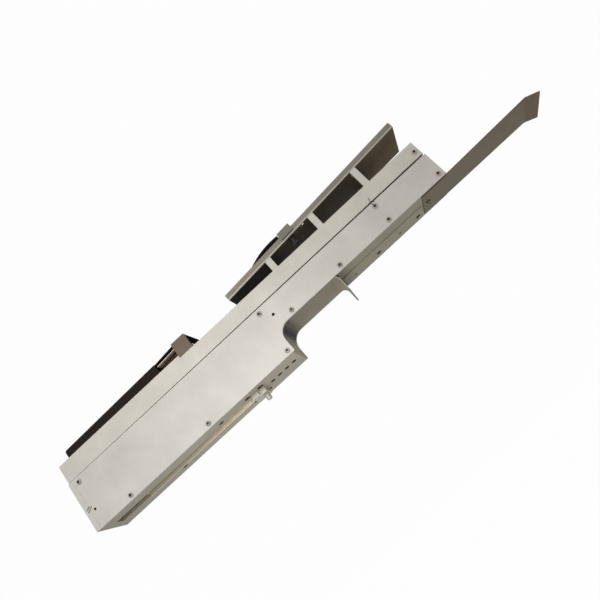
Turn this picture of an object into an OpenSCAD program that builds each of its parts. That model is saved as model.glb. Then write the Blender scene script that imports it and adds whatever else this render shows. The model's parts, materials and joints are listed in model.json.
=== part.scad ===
// Stick feeder with a vibrating track, for surface-mount placement machines.
// X runs from the pick-up end to the loading end, Y across, Z up, in millimetres.
// The model is laid out from the housing's front face and underside, and placed last,
// with the origin where the locating pin leaves its block.

/* [Housing] */
// Length of the housing, front face to rear face
body_len = 505; // [485:1:540]
// Width across the two side covers
body_w = 58; // [56:1:66]
// Height of the housing's top edge
seam_z = 59.8; // [58:0.2:64]
// Height of the near cover's lower edge along the neck
neck_z = 28.4; // [26.4:0.2:30.4]
// Distance from the front face to the notch
notch_x = 275; // [270:1:285]
// Radius of the notch's inner corner
notch_r = 14; // [8:1:16]
// Thickness of the side covers
cover_t = 2; // [1.6:0.1:2.4]
// Thickness of the formed sheets under the housing
sheet_t = 1.5; // [1.2:0.1:1.8]
// How far the near cover's edge stands past the formed sheets
cover_lip = 1.2; // [0.6:0.1:1.6]
// Thickness of the base plate
base_t = 10; // [9:0.5:11]
// Thickness of the front block's full-width face
front_t = 6; // [4:0.5:7]

/* [Hook and tail] */
// Distance from the notch to the hook flange
hook_run = 80.5; // [60:0.5:84]
// Height of the hook flange's lower edge
hook_z = 9; // [4:0.5:16]
// Inner bend radius of the hook flange
hook_bend_r = 7.5; // [2:0.5:8]
// Width of the tail plate
tail_w = 46; // [38:1:48]
// Length of the tail plate behind the housing
tail_out = 107.5; // [70:0.5:120]
// Length of the bent tip
tip_len = 14; // [10:1:26]
// Downward angle of the bent tip
tip_angle = 23; // [10:1:30]
// Inner bend radius of the tip
tip_bend_r = 4; // [1:0.5:8]

/* [Underside] */
// Width of the groove
groove_w = 15; // [12:0.5:17]
// Depth of the groove
groove_depth = 5; // [4.5:0.1:6]
// Length of the gold rail in the groove
rail_len = 152; // [100:1:160]
// Diameter of the mounting holes
base_hole_d = 6; // [5:0.1:7]
// Pitch of the mounting holes
base_hole_pitch = 10; // [9:0.5:10.5]
// Distance from the front face to the locating pin
pin_x = 219.5; // [216:0.5:222]
// Diameter of the locating pin
pin_d = 6; // [5:0.1:8]
// Free length of the locating pin
pin_len = 7; // [6:0.5:12]

/* [Track] */
// Height of the gap between the housing and the track
seam_gap = 1; // [0.8:0.1:1.6]
// Height of the track's side plates
track_h = 17.7; // [16.5:0.1:22]
// Thickness of the track's side plates
track_plate_t = 3; // [2:0.1:3.5]
// Thickness of the track deck
deck_t = 6; // [4.5:0.1:6.5]
// Distance from the front block's face to the track's front end
track_setback = 1.5; // [1:0.1:3]

/* [Lanes and bridge] */
// Thickness of the lane plate
lane_plate_t = 3.5; // [2.5:0.1:4.5]
// Length of the lane block
lane_len = 135; // [110:1:140]
// Height of the lane block at its front end
lane_h = 9.8; // [9:0.1:11.6]
// Rise of the lane block's top
lane_rise = 1.2; // [0.6:0.05:1.8]
// Width of one lane
lane_w = 9; // [7:0.1:10]
// Width left beside the outer lanes, for both sides together
lane_margin = 8; // [7:0.1:10]
// Distance from the front face to the bridge
bridge_x = 178; // [174:0.5:182]
// Length of the bridge along the track
bridge_len = 18; // [12:0.5:22]
// Height of the bridge above the lane plate
bridge_h = 15.2; // [14:0.1:18]

/* [Stick tray] */
// Distance from the front face to the tray
tray_x = 256.5; // [250:0.5:262]
// Height of the tray's front end above the track
tray_lift = 9.9; // [8:0.1:14]
// Rise of the tray towards the rear
tray_rise = 4; // [2.5:0.1:5]
// Height of the tray's walls
tray_wall_h = 7; // [6:0.1:11]
// Distance from the tray's front end to the first post
post_inset = 58.5; // [56:0.5:60]
// Width of the posts under the tray
post_w = 7.4; // [6:0.1:10]
// Distance from post to post
post_pitch = 64; // [62:0.5:66]

/* [Stick clamp] */
// Distance from the tray's front end to the clamp block
clamp_at = 84; // [82:0.5:86]
// Length of the clamp block
clamp_len = 16.5; // [14:0.5:18]
// Half of the clamp's travel along the tray
clamp_travel = 18; // [10:1:18]
// Radius of the hold-down leaf's bow
leaf_bow_r = 86; // [78:1:98]
// Length of the hold-down leaf
leaf_len = 58; // [47:1:60]

/* [Drive] */
// Lean of the leaf springs
spring_lean = 8; // [4:0.5:12]
// Thickness of a leaf spring
spring_t = 1.5; // [1:0.1:2]
// Width of a leaf spring
spring_w = 36; // [28:1:40]
// Air gap between the magnet and the armature
air_gap = 1.5; // [1:0.1:2.5]

/* [Hidden] */
$fn = 64;
// clearances between pieces that seat, slide and pass through
fit = 0.1;
seat = 0.05;
slide_gap = 0.3;
thread_gap = 0.05;
hole_gap = 0.2;
cut = 1;

// housing
half_w = body_w / 2;
inner_w = body_w - 2 * cover_t - 2 * fit;
inner_y = inner_w / 2;
floor_z = neck_z + cover_lip;
floor_top = floor_z + sheet_t;
wall_x = notch_x - cover_lip - sheet_t;
hook_x = notch_x + hook_run;
cover_x = front_t + hole_gap;
front_block_len = 18;
rear_block_len = 10;
rear_foot_len = 35;
rear_foot_h = 10;
rail_h = 6;
neck_rail_w = 7;
hook_hole = [notch_x + notch_r - 2, -17];
hook_hole_d = 2.4;
neck_x = hook_x + sheet_t + fit;
foot_x = body_len - rear_foot_len;

// screws: head radius, head height, shank radius, socket radius
m3 = [2.75, 1.6, 1.5, 1.1];
m4 = [3.5, 2.2, 2, 1.4];
screw_grip = 6;
edge_z = 4.7;
first_screw_x = 51.5;
last_base_x = wall_x - 3.2;
base_row = [for (i = [0:2]) [first_screw_x + i * (last_base_x - first_screw_x) / 2, edge_z]];
neck_row_z = floor_top + 2.1;
neck_first_x = notch_x + notch_r + 10.3;
neck_last_x = body_len - 6.2;
neck_row = [for (i = [0:3]) [neck_first_x + i * (neck_last_x - neck_first_x) / 3, neck_row_z]];
upper_z = seam_z - 6;
spacer_r = 4;
spacer_points = [[wall_x - 1, upper_z], [neck_row[2][0], upper_z]];
front_screw = [front_t + 6.2, upper_z];
spare_hole = [front_t + 5.5, 19.8];
spare_hole_r = 1.4;
cover_points = concat(base_row, neck_row, spacer_points, [front_screw]);

// underside
groove_x = front_t + 5;
groove_end = pin_x - 13.5;
rail_in = 0.6;
rail_lip_y = 1;
rail_lip_t = 2.2;
rail_lip_h = 2.4;
block_depth = 6;
rail_block_size = [9.6, 24, 5];
pin_block_size = [8.6, 20, block_depth];
pin_nose = 1.6;
pin_shank_d = 4;
hole_row_x = pin_x + 14;
base_screw_points = [for (x = [pin_x - 15.3, pin_x + 2.5], y = [-15, 15]) [x, y]];
strip_y = [-2, inner_y - 1];
strip_t = 1;
strip_hole_ds = [3, 6];
strip_hole_shares = [0.14, 0.44, 0.71, 0.94];
strip_hole_y = 14;
strip_end_gap = 2;
tail_t = sheet_t;
tail_x = foot_x + 2;
tail_screw_x = tail_x + 7;

// track
track_z = seam_z + seam_gap;
track_top = track_z + track_h;
deck_z = track_top - deck_t;
deck_y = half_w - track_plate_t - fit;
track_rear = body_len - 1;
lane_top = track_top + lane_plate_t;
lane_x = 14.8;
lane_floor_t = 2;
lane_stop_t = 3.2;
lane_y = inner_y - 1;
lane_count = 4;
lane_pitch = (body_w - lane_margin) / lane_count;
lane_ys = [for (i = [0:lane_count - 1]) (i - (lane_count - 1) / 2) * lane_pitch];
lane_cover_t = 1.2;
lane_open = 36;
lane_rim = 1.3;
cover_y = lane_y - lane_rim - fit;
function lane_crest(x) = lane_top + lane_h + (x - lane_x) * tan(lane_rise);
cheek_t = 1.5;
bridge_leg = 3;
mouth_in = 6;
mouth_up = 1.6;
bridge_roof = 2.8;
tunnel_h = bridge_h - bridge_roof;
bridge_top = lane_top + bridge_h;
finger_t = 0.5;
finger_root = 8;
finger_w = 0.26 * lane_w;
finger_tip_ws = [0.56 * lane_w, 0.2 * lane_w];
finger_ys = [-0.21 * lane_w, 0.29 * lane_w];
finger_drops = [2.8, 3.9];

// tray
tray_z = track_top + tray_lift;
tray_floor_t = 1.2;
tray_wall_t = 1.5;
tray_bend_r = 1.8;
tray_len = (track_rear - tray_x) / cos(tray_rise);
post_xs = [for (i = [0:2]) tray_x + post_inset + i * post_pitch];
post_gap = seat;
tab_t = 2;
tab_y = 12;
tab_hole_in = 7;
function tray_under(x) = tray_z + (x - tray_x) * tan(tray_rise);
function along_tray(x) = (x - tray_x) / cos(tray_rise);

// clamp, in the tray's own slanted frame
clamp_out = 2;
clamp_low = 2;
clamp_chamfer = 1;
clamp_h = tray_wall_h + 4.4;
clamp_in = half_w - tray_wall_t - slide_gap;
clamp_foot_w = 6;
stud_r = 2;
stud_y = -clamp_in + clamp_foot_w / 2;
stud_x = clamp_at + clamp_len / 2;
stud_up = 9;
slot_r = stud_r + slide_gap;
shoe_len = 10;
shoe_t = 2;
bar_len = 9;
bar_w = 4;
bar_t = 2;
bar_drop = 7.5;
bar_stem_r = 2.9;
washer_t = 1;
washer_r = 4;
leaf_pin_r = 1.3;
leaf_eye_r = 2.1;
leaf_t = 0.5;
leaf_w = 36;
leaf_pin_x = clamp_at + 2;
leaf_pin_z = clamp_h - 2.3;
leaf_y = -clamp_in + clamp_foot_w + slide_gap;
leaf_apex = 16;
leaf_front_gap = 0.5;
leaf_pin_end = 1.5;

// drive
spring_clamp_t = 3;
spring_bore_in = 10;
spring_foot_h = 16;
spring_foot_len = 27;
spring_base_gap = 2;
spring_end_gap = 2.5;
front_spring_x = 42;
rear_spring_back = 19.5;
rear_spring_x = pin_x - rear_spring_back;
spring_xs = [front_spring_x, rear_spring_x];
spring_screw_y = 10;
spring_screw_up = 8;
spring_span = (deck_z - base_t) / cos(spring_lean);
foot_w = spring_w + 8;
core_x = 120;
core_back = 10;
core_leg = 20;
core_z = base_t + 4;
core_w = 24;
pole_h = [6, 10, 6];
coil_room = 7;
core_h = pole_h[0] + pole_h[1] + pole_h[2] + 2 * coil_room;
coil_gap = 0.5;
coil_over = 5;
coil_len = core_leg - 2;
coil_r = 4;
bracket_t = 4;
bracket_foot = [92, 172];
bracket_foot_t = 3;
bracket_w = 40;
bracket_screws = [[98.4, 13.7], [166.6, -13.7]];
armature_t = 6;
armature_w = 28;
armature_foot = 16;
armature_inset = 8;
armature_x = core_x + core_back + core_leg + air_gap;

// driver board behind the near cover
board_t = 1.6;
board_gap = 8;
board_len = 62;
board_z = [floor_top + rail_h + 0.4, seam_z - 2];
board_x = notch_x + 2;
board_y = -inner_y + board_gap;
trimmer_point = [notch_x + 7.2, floor_top + 12];
trimmer_size = 9;
trimmer_depth = 6;
rotor_r = 3.2;
rotor_depth = 4;
rotor_out = 0.8;
standoff_r = 2.5;
standoff_in = 18;
stud_tip = 2;
cap_xs = [30, 43];
cap_r = 5;
cap_h = 14;
chip_x = 3;
chip_size = [10, 5, 14];
standoff_xs = [board_x + standoff_in, board_x + board_len - 5];
standoff_points = [for (x = standoff_xs, z = [board_z[0] + 4, board_z[1] - 4]) [x, z]];

alu = "#cfc9bf";
track_alu = "#c7c4b9";
steel = "#d6d2c8";
dark_sheet = "#6d665c";
grey_sheet = "#928b83";
black = "#28241f";
gold = "#d8cc9a";
bronze = "#a07a50";
copper = "#b5653a";
board_green = "#2f5d3a";

// Shared shapes

// puts the laid-out model in its own frame
module placed() {
    translate([-pin_x, 0, block_depth]) children();
}

// a side profile in X and Z, carried across the width
module across(y0, y1) {
    translate([0, y1, 0]) rotate([90, 0, 0]) linear_extrude(y1 - y0) children();
}

// a section in Y and Z, carried along X
module along(x0, x1) {
    translate([x0, 0, 0]) rotate([90, 0, 90]) linear_extrude(x1 - x0) children();
}

// an upright rectangle on the Y axis with its two lower corners rounded
module cup_section(w, h, r) {
    translate([-w / 2, r]) square([w, h - r]);
    translate([-w / 2 + r, 0]) square([w - 2 * r, h]);
    for (y = [-w / 2 + r, w / 2 - r]) translate([y, r]) circle(r = r);
}

// a round bar along Y
module bar_y(x, z, r, y0, y1) {
    translate([x, y1, z]) rotate([90, 0, 0]) cylinder(r = r, h = y1 - y0);
}

// a screw with its head up and the head's seat at zero
module cap_screw(kind, grip) {
    difference() {
        union() {
            rotate_extrude() polygon([
                [0, 0], [kind[0], 0], [kind[0], kind[1] * 0.45], [kind[0] * 0.7, kind[1]], [0, kind[1]]
            ]);
            translate([0, 0, -grip]) cylinder(r = kind[2], h = grip + seat);
        }
        translate([0, 0, kind[1] * 0.4]) cylinder(r = kind[3], h = kind[1], $fn = 6);
    }
}

// a screw sunk flush, with its head's top at zero
module sunk_screw(kind, grip) {
    translate([0, 0, -kind[1]]) cap_screw(kind, grip);
}

module sunk_hole(kind, grip) {
    translate([0, 0, -kind[1] - seat]) cylinder(r = kind[0] + hole_gap, h = kind[1] + seat + cut);
    translate([0, 0, -kind[1] - grip]) cylinder(r = kind[2] + thread_gap, h = grip + cut);
}

// the housing's side outline, drawn in from the notch by an inset
module housing_outline(inset) {
    neck_low = neck_z + inset;
    translate([cover_x, 0]) square([notch_x - inset - cover_x, seam_z]);
    translate([cover_x, neck_low]) square([body_len - cover_x, seam_z - neck_low]);
    difference() {
        translate([notch_x - inset - cut, neck_z - notch_r]) square(notch_r + inset + cut);
        translate([notch_x + notch_r, neck_z - notch_r]) circle(r = notch_r + inset);
    }
}

// a quarter of a bent sheet, in the quadrant that the signs name
module bend(centre, r, sx, sz) {
    translate(centre) intersection() {
        difference() {
            circle(r = r + sheet_t);
            circle(r = r);
        }
        side = r + sheet_t + cut;
        translate([sx < 0 ? -side : 0, sz < 0 ? -side : 0]) square(side);
    }
}

// the tray's slanted frame
module on_tray() {
    translate([tray_x, 0, tray_z]) rotate([0, -tray_rise, 0]) children();
}

// a leaf spring's leaning frame, from the base plate's top
module on_spring(x) {
    translate([x, 0, base_t]) rotate([0, spring_lean, 0]) children();
}

// Housing

module base_plate() {
    color(alu) difference() {
        translate([front_t, -inner_y, 0]) cube([wall_x - front_t, inner_w, base_t]);
        translate([groove_x, -groove_w / 2, -cut])
            cube([groove_end - groove_x, groove_w, groove_depth + cut]);
        for (i = [0:3])
            translate([hole_row_x + i * base_hole_pitch, 0, -cut])
                cylinder(d = base_hole_d, h = base_t + 2 * cut);
        for (p = base_screw_points)
            translate([p[0], p[1], 0]) rotate([180, 0, 0]) sunk_hole(m4, base_t);
        for (p = bracket_screws)
            translate([p[0], p[1], 0]) rotate([180, 0, 0]) sunk_hole(m3, base_t);
        for (p = base_row)
            bar_y(p[0], p[1], m3[2] + thread_gap, -half_w, -inner_y + screw_grip);
        for (p = base_row)
            bar_y(p[0], p[1], m3[2] + thread_gap, inner_y - screw_grip, half_w);
    }
}

module front_block() {
    color(alu) difference() {
        union() {
            translate([0, -half_w, 0]) cube([front_t, body_w, seam_z]);
            translate([0, -inner_y, base_t]) cube([front_block_len, inner_w, seam_z - base_t]);
        }
        bar_y(front_screw[0], front_screw[1], m3[2] + thread_gap, -half_w, -inner_y + screw_grip);
        bar_y(front_screw[0], front_screw[1], m3[2] + thread_gap, inner_y - screw_grip, half_w);
        bar_y(spare_hole[0], spare_hole[1], spare_hole_r, -half_w, -inner_y + screw_grip);
    }
}

module rear_block() {
    color(alu) difference() {
        union() {
            translate([foot_x, -inner_y, floor_z]) cube([rear_foot_len, inner_w, rear_foot_h]);
            translate([body_len - rear_block_len, -inner_y, floor_z])
                cube([rear_block_len, inner_w, seam_z - floor_z]);
        }
        for (s = [[-half_w, -inner_y + screw_grip], [inner_y - screw_grip, half_w]])
            bar_y(neck_row[3][0], neck_row[3][1], m3[2] + thread_gap, s[0], s[1]);
        translate([tail_screw_x, 0, floor_z - cut]) cylinder(r = m4[2] + thread_gap, h = screw_grip + cut);
    }
}

module near_side_cover() {
    color(alu) difference() {
        across(-half_w, -half_w + cover_t) housing_outline(0);
        for (p = cover_points) bar_y(p[0], p[1], m3[2] + hole_gap, -half_w - cut, -half_w + cover_t + cut);
        bar_y(trimmer_point[0], trimmer_point[1], 1.6, -half_w - cut, -half_w + cover_t + cut);
        bar_y(spare_hole[0], spare_hole[1], spare_hole_r, -half_w - cut, -half_w + cover_t + cut);
    }
}

module far_side_plate() {
    color(alu) difference() {
        across(half_w - cover_t, half_w) housing_outline(cover_lip);
        for (p = cover_points) bar_y(p[0], p[1], m3[2] + hole_gap, half_w - cover_t - cut, half_w + cut);
    }
}

// one sheet lines the notch, runs under the neck and turns down into the flange
module hook_plate() {
    bend_x = hook_x - hook_bend_r;
    color(alu) difference() {
        across(-inner_y, inner_y) {
            translate([wall_x, 0]) square([sheet_t, neck_z - notch_r + seat]);
            bend([notch_x + notch_r, neck_z - notch_r], notch_r + cover_lip, -1, 1);
            translate([notch_x + notch_r - seat, floor_z])
                square([bend_x - notch_x - notch_r + 2 * seat, sheet_t]);
            bend([bend_x, floor_z - hook_bend_r], hook_bend_r, 1, 1);
            translate([hook_x, hook_z]) square([sheet_t, floor_z - hook_bend_r - hook_z + seat]);
        }
        translate([hook_hole[0], hook_hole[1], floor_z - cut])
            cylinder(d = hook_hole_d, h = sheet_t + 2 * cut);
    }
}

module neck_floor() {
    color(alu) difference() {
        translate([neck_x, -inner_y, floor_z]) cube([foot_x - fit - neck_x, inner_w, sheet_t]);
        strip_holes();
    }
}

// small and large holes by turns
module strip_holes() {
    strip_len = tail_x - strip_end_gap - neck_x;
    for (i = [0:3])
        translate([neck_x + strip_hole_shares[i] * strip_len, strip_hole_y, floor_z - strip_t - cut])
            cylinder(d = strip_hole_ds[i % 2], h = strip_t + sheet_t + 2 * cut);
}

module neck_strip() {
    color(alu) difference() {
        translate([neck_x + strip_end_gap, strip_y[0], floor_z - strip_t])
            cube([tail_x - 2 * strip_end_gap - neck_x, strip_y[1] - strip_y[0], strip_t]);
        strip_holes();
    }
}

module neck_rails() {
    rail_x = notch_x + notch_r + 2;
    color(alu) difference() {
        for (y = [-inner_y, inner_y - neck_rail_w])
            translate([rail_x, y, floor_top]) cube([foot_x - fit - rail_x, neck_rail_w, rail_h]);
        for (i = [0:2], s = [[-half_w, -inner_y + screw_grip], [inner_y - screw_grip, half_w]])
            bar_y(neck_row[i][0], neck_row[i][1], m3[2] + thread_gap, s[0], s[1]);
    }
}

module cross_spacers() {
    color(steel) for (p = spacer_points) difference() {
        bar_y(p[0], p[1], spacer_r, -inner_y, inner_y);
        bar_y(p[0], p[1], m3[2] + thread_gap, -half_w, -inner_y + screw_grip);
        bar_y(p[0], p[1], m3[2] + thread_gap, inner_y - screw_grip, half_w);
    }
}

// flat sheet whose end turns down; the bend runs round its axis in short steps
module tail_outline() {
    steps = 4;
    tail_end = body_len + tail_out;
    outer_r = tip_bend_r + tail_t;
    turn = [for (i = [0:steps]) [sin(i * tip_angle / steps), cos(i * tip_angle / steps)]];
    tip = tip_len * [cos(tip_angle), -sin(tip_angle)];
    translate([tail_end, floor_z - outer_r]) polygon(concat(
        [[tail_x - tail_end, outer_r]], [for (i = [0:steps]) outer_r * turn[i]],
        [outer_r * turn[steps] + tip, tip_bend_r * turn[steps] + tip],
        [for (i = [steps:-1:0]) tip_bend_r * turn[i]], [[tail_x - tail_end, tip_bend_r]]
    ));
}

module tail_plate() {
    color(dark_sheet) difference() {
        across(-tail_w / 2, tail_w / 2) tail_outline();
        translate([tail_screw_x, 0, floor_z - tail_t - cut])
            cylinder(r = m4[2] + hole_gap, h = tail_t + 2 * cut);
    }
}

module tail_screw() {
    color(steel) translate([tail_screw_x, 0, floor_z - tail_t]) rotate([180, 0, 0])
        cap_screw(m4, tail_t + screw_grip - 1);
}

// flat bar in the groove with a lip that stands out below the base
module guide_rail() {
    rail_w = groove_w - 4;
    color(gold) translate([groove_end - fit - rail_len, 0, 0]) {
        translate([0, -rail_w / 2, rail_in]) cube([rail_len, rail_w, groove_depth - rail_in]);
        translate([0, rail_lip_y, -rail_lip_h]) cube([rail_len, rail_lip_t, rail_lip_h + groove_depth]);
    }
}

// the rail's end block and the pin's own block
module pin_block() {
    rail_block_x = pin_x - rail_block_size[0] - pin_block_size[0] / 2 + 1;
    color(steel) difference() {
        union() {
            translate([rail_block_x, -rail_block_size[1] / 2, -rail_block_size[2]]) cube(rail_block_size);
            translate([pin_x - pin_block_size[0] / 2, -pin_block_size[1] / 2, -pin_block_size[2]])
                cube(pin_block_size);
        }
        translate([pin_x, 0, -block_depth - cut])
            cylinder(d = pin_shank_d + 2 * thread_gap, h = block_depth + 2 * cut);
    }
}

// a shouldered pin, with a thinner shank in the block and a rounded nose
module locating_pin() {
    nose_r = pin_d / 2 - pin_nose;
    color(steel) translate([pin_x, 0, -block_depth]) rotate_extrude() union() {
        square([pin_shank_d / 2, block_depth]);
        translate([0, -pin_len + pin_nose]) square([pin_d / 2, pin_len - pin_nose]);
        translate([0, -pin_len]) square([nose_r, pin_nose + seat]);
        translate([nose_r, -pin_len + pin_nose]) intersection() {
            circle(r = pin_nose);
            translate([0, -pin_nose]) square(pin_nose);
        }
    }
}

module base_screws() {
    color(black) {
        for (p = base_screw_points)
            translate([p[0], p[1], 0]) rotate([180, 0, 0]) sunk_screw(m4, base_t + screw_grip - m4[1]);
        for (p = bracket_screws)
            translate([p[0], p[1], 0]) rotate([180, 0, 0]) sunk_screw(m3, base_t + bracket_foot_t - m3[1]);
    }
}

module near_cover_screws() {
    color(steel) for (p = cover_points)
        translate([p[0], -half_w, p[1]]) rotate([90, 0, 0]) cap_screw(m3, cover_t + screw_grip - 1);
}

module far_cover_screws() {
    color(steel) for (p = cover_points)
        translate([p[0], half_w, p[1]]) rotate([-90, 0, 0]) cap_screw(m3, cover_t + screw_grip - 1);
}

// Springs and drive

// block in the spring's frame with one face along the leaf, cut level at the plate it stands on
module spring_seat(x, level, height, up) {
    lean = tan(spring_lean);
    near_x = x + (level - base_t) * lean + (spring_t / 2 + seat) / cos(spring_lean);
    tip = up ? height : -height;
    difference() {
        across(-foot_w / 2, foot_w / 2) polygon([
            [near_x, level], [near_x + spring_foot_len, level],
            [near_x + spring_foot_len, level + tip * 0.6], [near_x + spring_foot_len * 0.6, level + tip],
            [near_x + tip * lean, level + tip]
        ]);
        children();
    }
}

module spring_screw_places(x, up) {
    screw_high = spring_span - spring_screw_up;
    on_spring(x) for (y = [-spring_screw_y, spring_screw_y])
        translate([-spring_t / 2 - seat - spring_clamp_t, y, up ? spring_screw_up : screw_high])
            rotate([0, -90, 0]) children();
}

module spring_screw_bores(x, up) {
    spring_screw_places(x, up)
        translate([0, 0, -spring_clamp_t - spring_t - spring_bore_in])
            cylinder(r = m4[2] + thread_gap, h = 2 * spring_bore_in);
}

module spring_feet() {
    color(alu) difference() {
        for (x = spring_xs) spring_seat(x, base_t, spring_foot_h, true) spring_screw_bores(x, true);
        for (p = base_screw_points)
            translate([p[0], p[1], base_t - cut]) cylinder(r = m4[2] + thread_gap, h = screw_grip + cut);
    }
}

module spring_heads() {
    color(track_alu) difference() {
        for (x = spring_xs) spring_seat(x, deck_z, spring_foot_h, false) spring_screw_bores(x, false);
        deck_screw_places() translate([0, 0, -deck_t - 9]) cylinder(r = m4[2] + thread_gap, h = 10);
    }
}

module clamp_plate(x, low, high, up) {
    difference() {
        on_spring(x) translate([-spring_t / 2 - seat - spring_clamp_t, -spring_w / 2, low])
            cube([spring_clamp_t, spring_w, high - low]);
        spring_screw_bores(x, up);
    }
}

module lower_clamp_plates() {
    color(steel) for (x = spring_xs) clamp_plate(x, spring_base_gap, spring_foot_h - 1, true);
}

module upper_clamp_plates() {
    color(steel) for (x = spring_xs)
        clamp_plate(x, spring_span - spring_foot_h + 1, spring_span - spring_base_gap, false);
}

module lower_spring_screws() {
    color(steel) for (x = spring_xs) spring_screw_places(x, true)
        cap_screw(m4, spring_clamp_t + spring_t + 8);
}

module upper_spring_screws() {
    color(steel) for (x = spring_xs) spring_screw_places(x, false)
        cap_screw(m4, spring_clamp_t + spring_t + 8);
}

module leaf_spring(x) {
    screw_high = spring_span - spring_screw_up;
    color(steel) difference() {
        on_spring(x) translate([-spring_t / 2, -spring_w / 2, spring_base_gap])
            cube([spring_t, spring_w, spring_span - spring_base_gap - spring_end_gap]);
        on_spring(x) for (y = [-spring_screw_y, spring_screw_y], z = [spring_screw_up, screw_high])
            translate([-spring_t, y, z]) rotate([0, 90, 0])
                cylinder(r = m4[2] + slide_gap, h = 2 * spring_t);
    }
}

module leaf_spring_front() {
    leaf_spring(front_spring_x);
}

module leaf_spring_rear() {
    leaf_spring(rear_spring_x);
}

module magnet_bracket() {
    color(grey_sheet) difference() {
        union() {
            translate([bracket_foot[0], -bracket_w / 2, base_t])
                cube([bracket_foot[1] - bracket_foot[0], bracket_w, bracket_foot_t]);
            translate([core_x - bracket_t, -bracket_w / 2, base_t])
                cube([bracket_t, bracket_w, core_h + 6]);
        }
        for (p = bracket_screws)
            translate([p[0], p[1], base_t - cut])
                cylinder(r = m3[2] + thread_gap, h = bracket_foot_t + 2 * cut);
        magnet_screw_places() translate([0, 0, -bracket_t - cut])
            cylinder(r = m3[2] + hole_gap, h = bracket_t + 2 * cut);
    }
}

module magnet_screw_places() {
    for (z = [core_z + pole_h[0] / 2, core_z + core_h - pole_h[2] / 2])
        translate([core_x - bracket_t, 0, z]) rotate([0, -90, 0]) children();
}

module magnet_screws() {
    color(steel) magnet_screw_places() cap_screw(m3, bracket_t + screw_grip);
}

// E-shaped core with its three poles towards the armature
module magnet_core() {
    mid_z = pole_h[0] + coil_room;
    color(grey_sheet) difference() {
        across(-core_w / 2, core_w / 2) translate([core_x, core_z]) {
            square([core_back, core_h]);
            square([core_back + core_leg, pole_h[0]]);
            translate([0, mid_z]) square([core_back + core_leg, pole_h[1]]);
            translate([0, core_h - pole_h[2]]) square([core_back + core_leg, pole_h[2]]);
        }
        magnet_screw_places() translate([0, 0, -bracket_t - screw_grip - cut])
            cylinder(r = m3[2] + thread_gap, h = screw_grip + cut);
    }
}

module magnet_coil() {
    low_z = core_z + pole_h[0] + coil_gap;
    hole_z = core_z + pole_h[0] + coil_room - seat;
    coil_h = pole_h[1] + 2 * coil_room - 2 * coil_gap;
    coil_w = core_w + 2 * coil_over;
    coil_x = core_x + core_back + coil_gap;
    color(copper) difference() {
        translate([0, 0, low_z]) along(coil_x, coil_x + coil_len) {
            translate([-coil_w / 2, coil_r]) square([coil_w, coil_h - 2 * coil_r]);
            translate([-coil_w / 2 + coil_r, 0]) square([coil_w - 2 * coil_r, coil_h]);
            for (y = [-coil_w / 2 + coil_r, coil_w / 2 - coil_r], z = [coil_r, coil_h - coil_r])
                translate([y, z]) circle(r = coil_r);
        }
        translate([core_x, -core_w / 2 - seat, hole_z])
            cube([core_back + core_leg, core_w + 2 * seat, pole_h[1] + 2 * seat]);
    }
}

module armature() {
    color(grey_sheet) difference() {
        translate([armature_x, -armature_w / 2, core_z]) cube([armature_t, armature_w, core_h]);
        armature_screw_places() translate([0, 0, -bracket_t - armature_t - cut])
            cylinder(r = m3[2] + thread_gap, h = armature_t + 2 * cut);
    }
}

module armature_screw_places() {
    for (z = [core_z + armature_inset, core_z + core_h - armature_inset])
        translate([armature_x + armature_t + bracket_t, 0, z]) rotate([0, 90, 0]) children();
}

module armature_bracket() {
    back_x = armature_x + armature_t;
    color(track_alu) difference() {
        union() {
            translate([back_x, -armature_w / 2, core_z]) cube([bracket_t, armature_w, deck_z - core_z]);
            translate([back_x, -armature_w / 2, deck_z - bracket_t])
                cube([armature_foot, armature_w, bracket_t]);
        }
        armature_screw_places() translate([0, 0, -bracket_t - cut])
            cylinder(r = m3[2] + hole_gap, h = bracket_t + 2 * cut);
    }
}

module armature_screws() {
    color(steel) armature_screw_places() cap_screw(m3, bracket_t + armature_t - 2);
}

// Driver board

module driver_board() {
    color(board_green) difference() {
        translate([board_x, board_y, board_z[0]]) cube([board_len, board_t, board_z[1] - board_z[0]]);
        for (p = standoff_points) bar_y(p[0], p[1], 1.3, board_y - cut, board_y + board_t + cut);
    }
}

module board_components() {
    back_y = board_y + board_t;
    mid_z = (board_z[0] + board_z[1]) / 2;
    color(black) {
        for (x = cap_xs) bar_y(board_x + x, mid_z, cap_r, back_y, back_y + cap_h);
        translate([board_x + chip_x, back_y, mid_z - chip_size[2] / 2]) cube(chip_size);
    }
}

// turned spacers with a stud that passes through the board
module board_standoffs() {
    color(steel) for (p = standoff_points) {
        bar_y(p[0], p[1], standoff_r, -inner_y, board_y);
        bar_y(p[0], p[1], 1.2, board_y - seat, board_y + board_t + stud_tip);
    }
}

module trimmer_body() {
    half = trimmer_size / 2;
    color("#3a5f96") difference() {
        translate([trimmer_point[0] - half, board_y - trimmer_depth, trimmer_point[1] - half])
            cube([trimmer_size, trimmer_depth, trimmer_size]);
        bar_y(trimmer_point[0], trimmer_point[1], rotor_r + thread_gap,
            board_y - trimmer_depth - cut, board_y - trimmer_depth + rotor_depth + seat);
    }
}

module trimmer_rotor() {
    face_y = board_y - trimmer_depth - rotor_out;
    color("#e8e4d8") difference() {
        bar_y(trimmer_point[0], trimmer_point[1], rotor_r, face_y, board_y - trimmer_depth + rotor_depth);
        translate([trimmer_point[0] - rotor_r - cut, face_y - cut, trimmer_point[1] - 0.4])
            cube([2 * (rotor_r + cut), cut + 0.6, 0.8]);
    }
}

// Track

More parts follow.
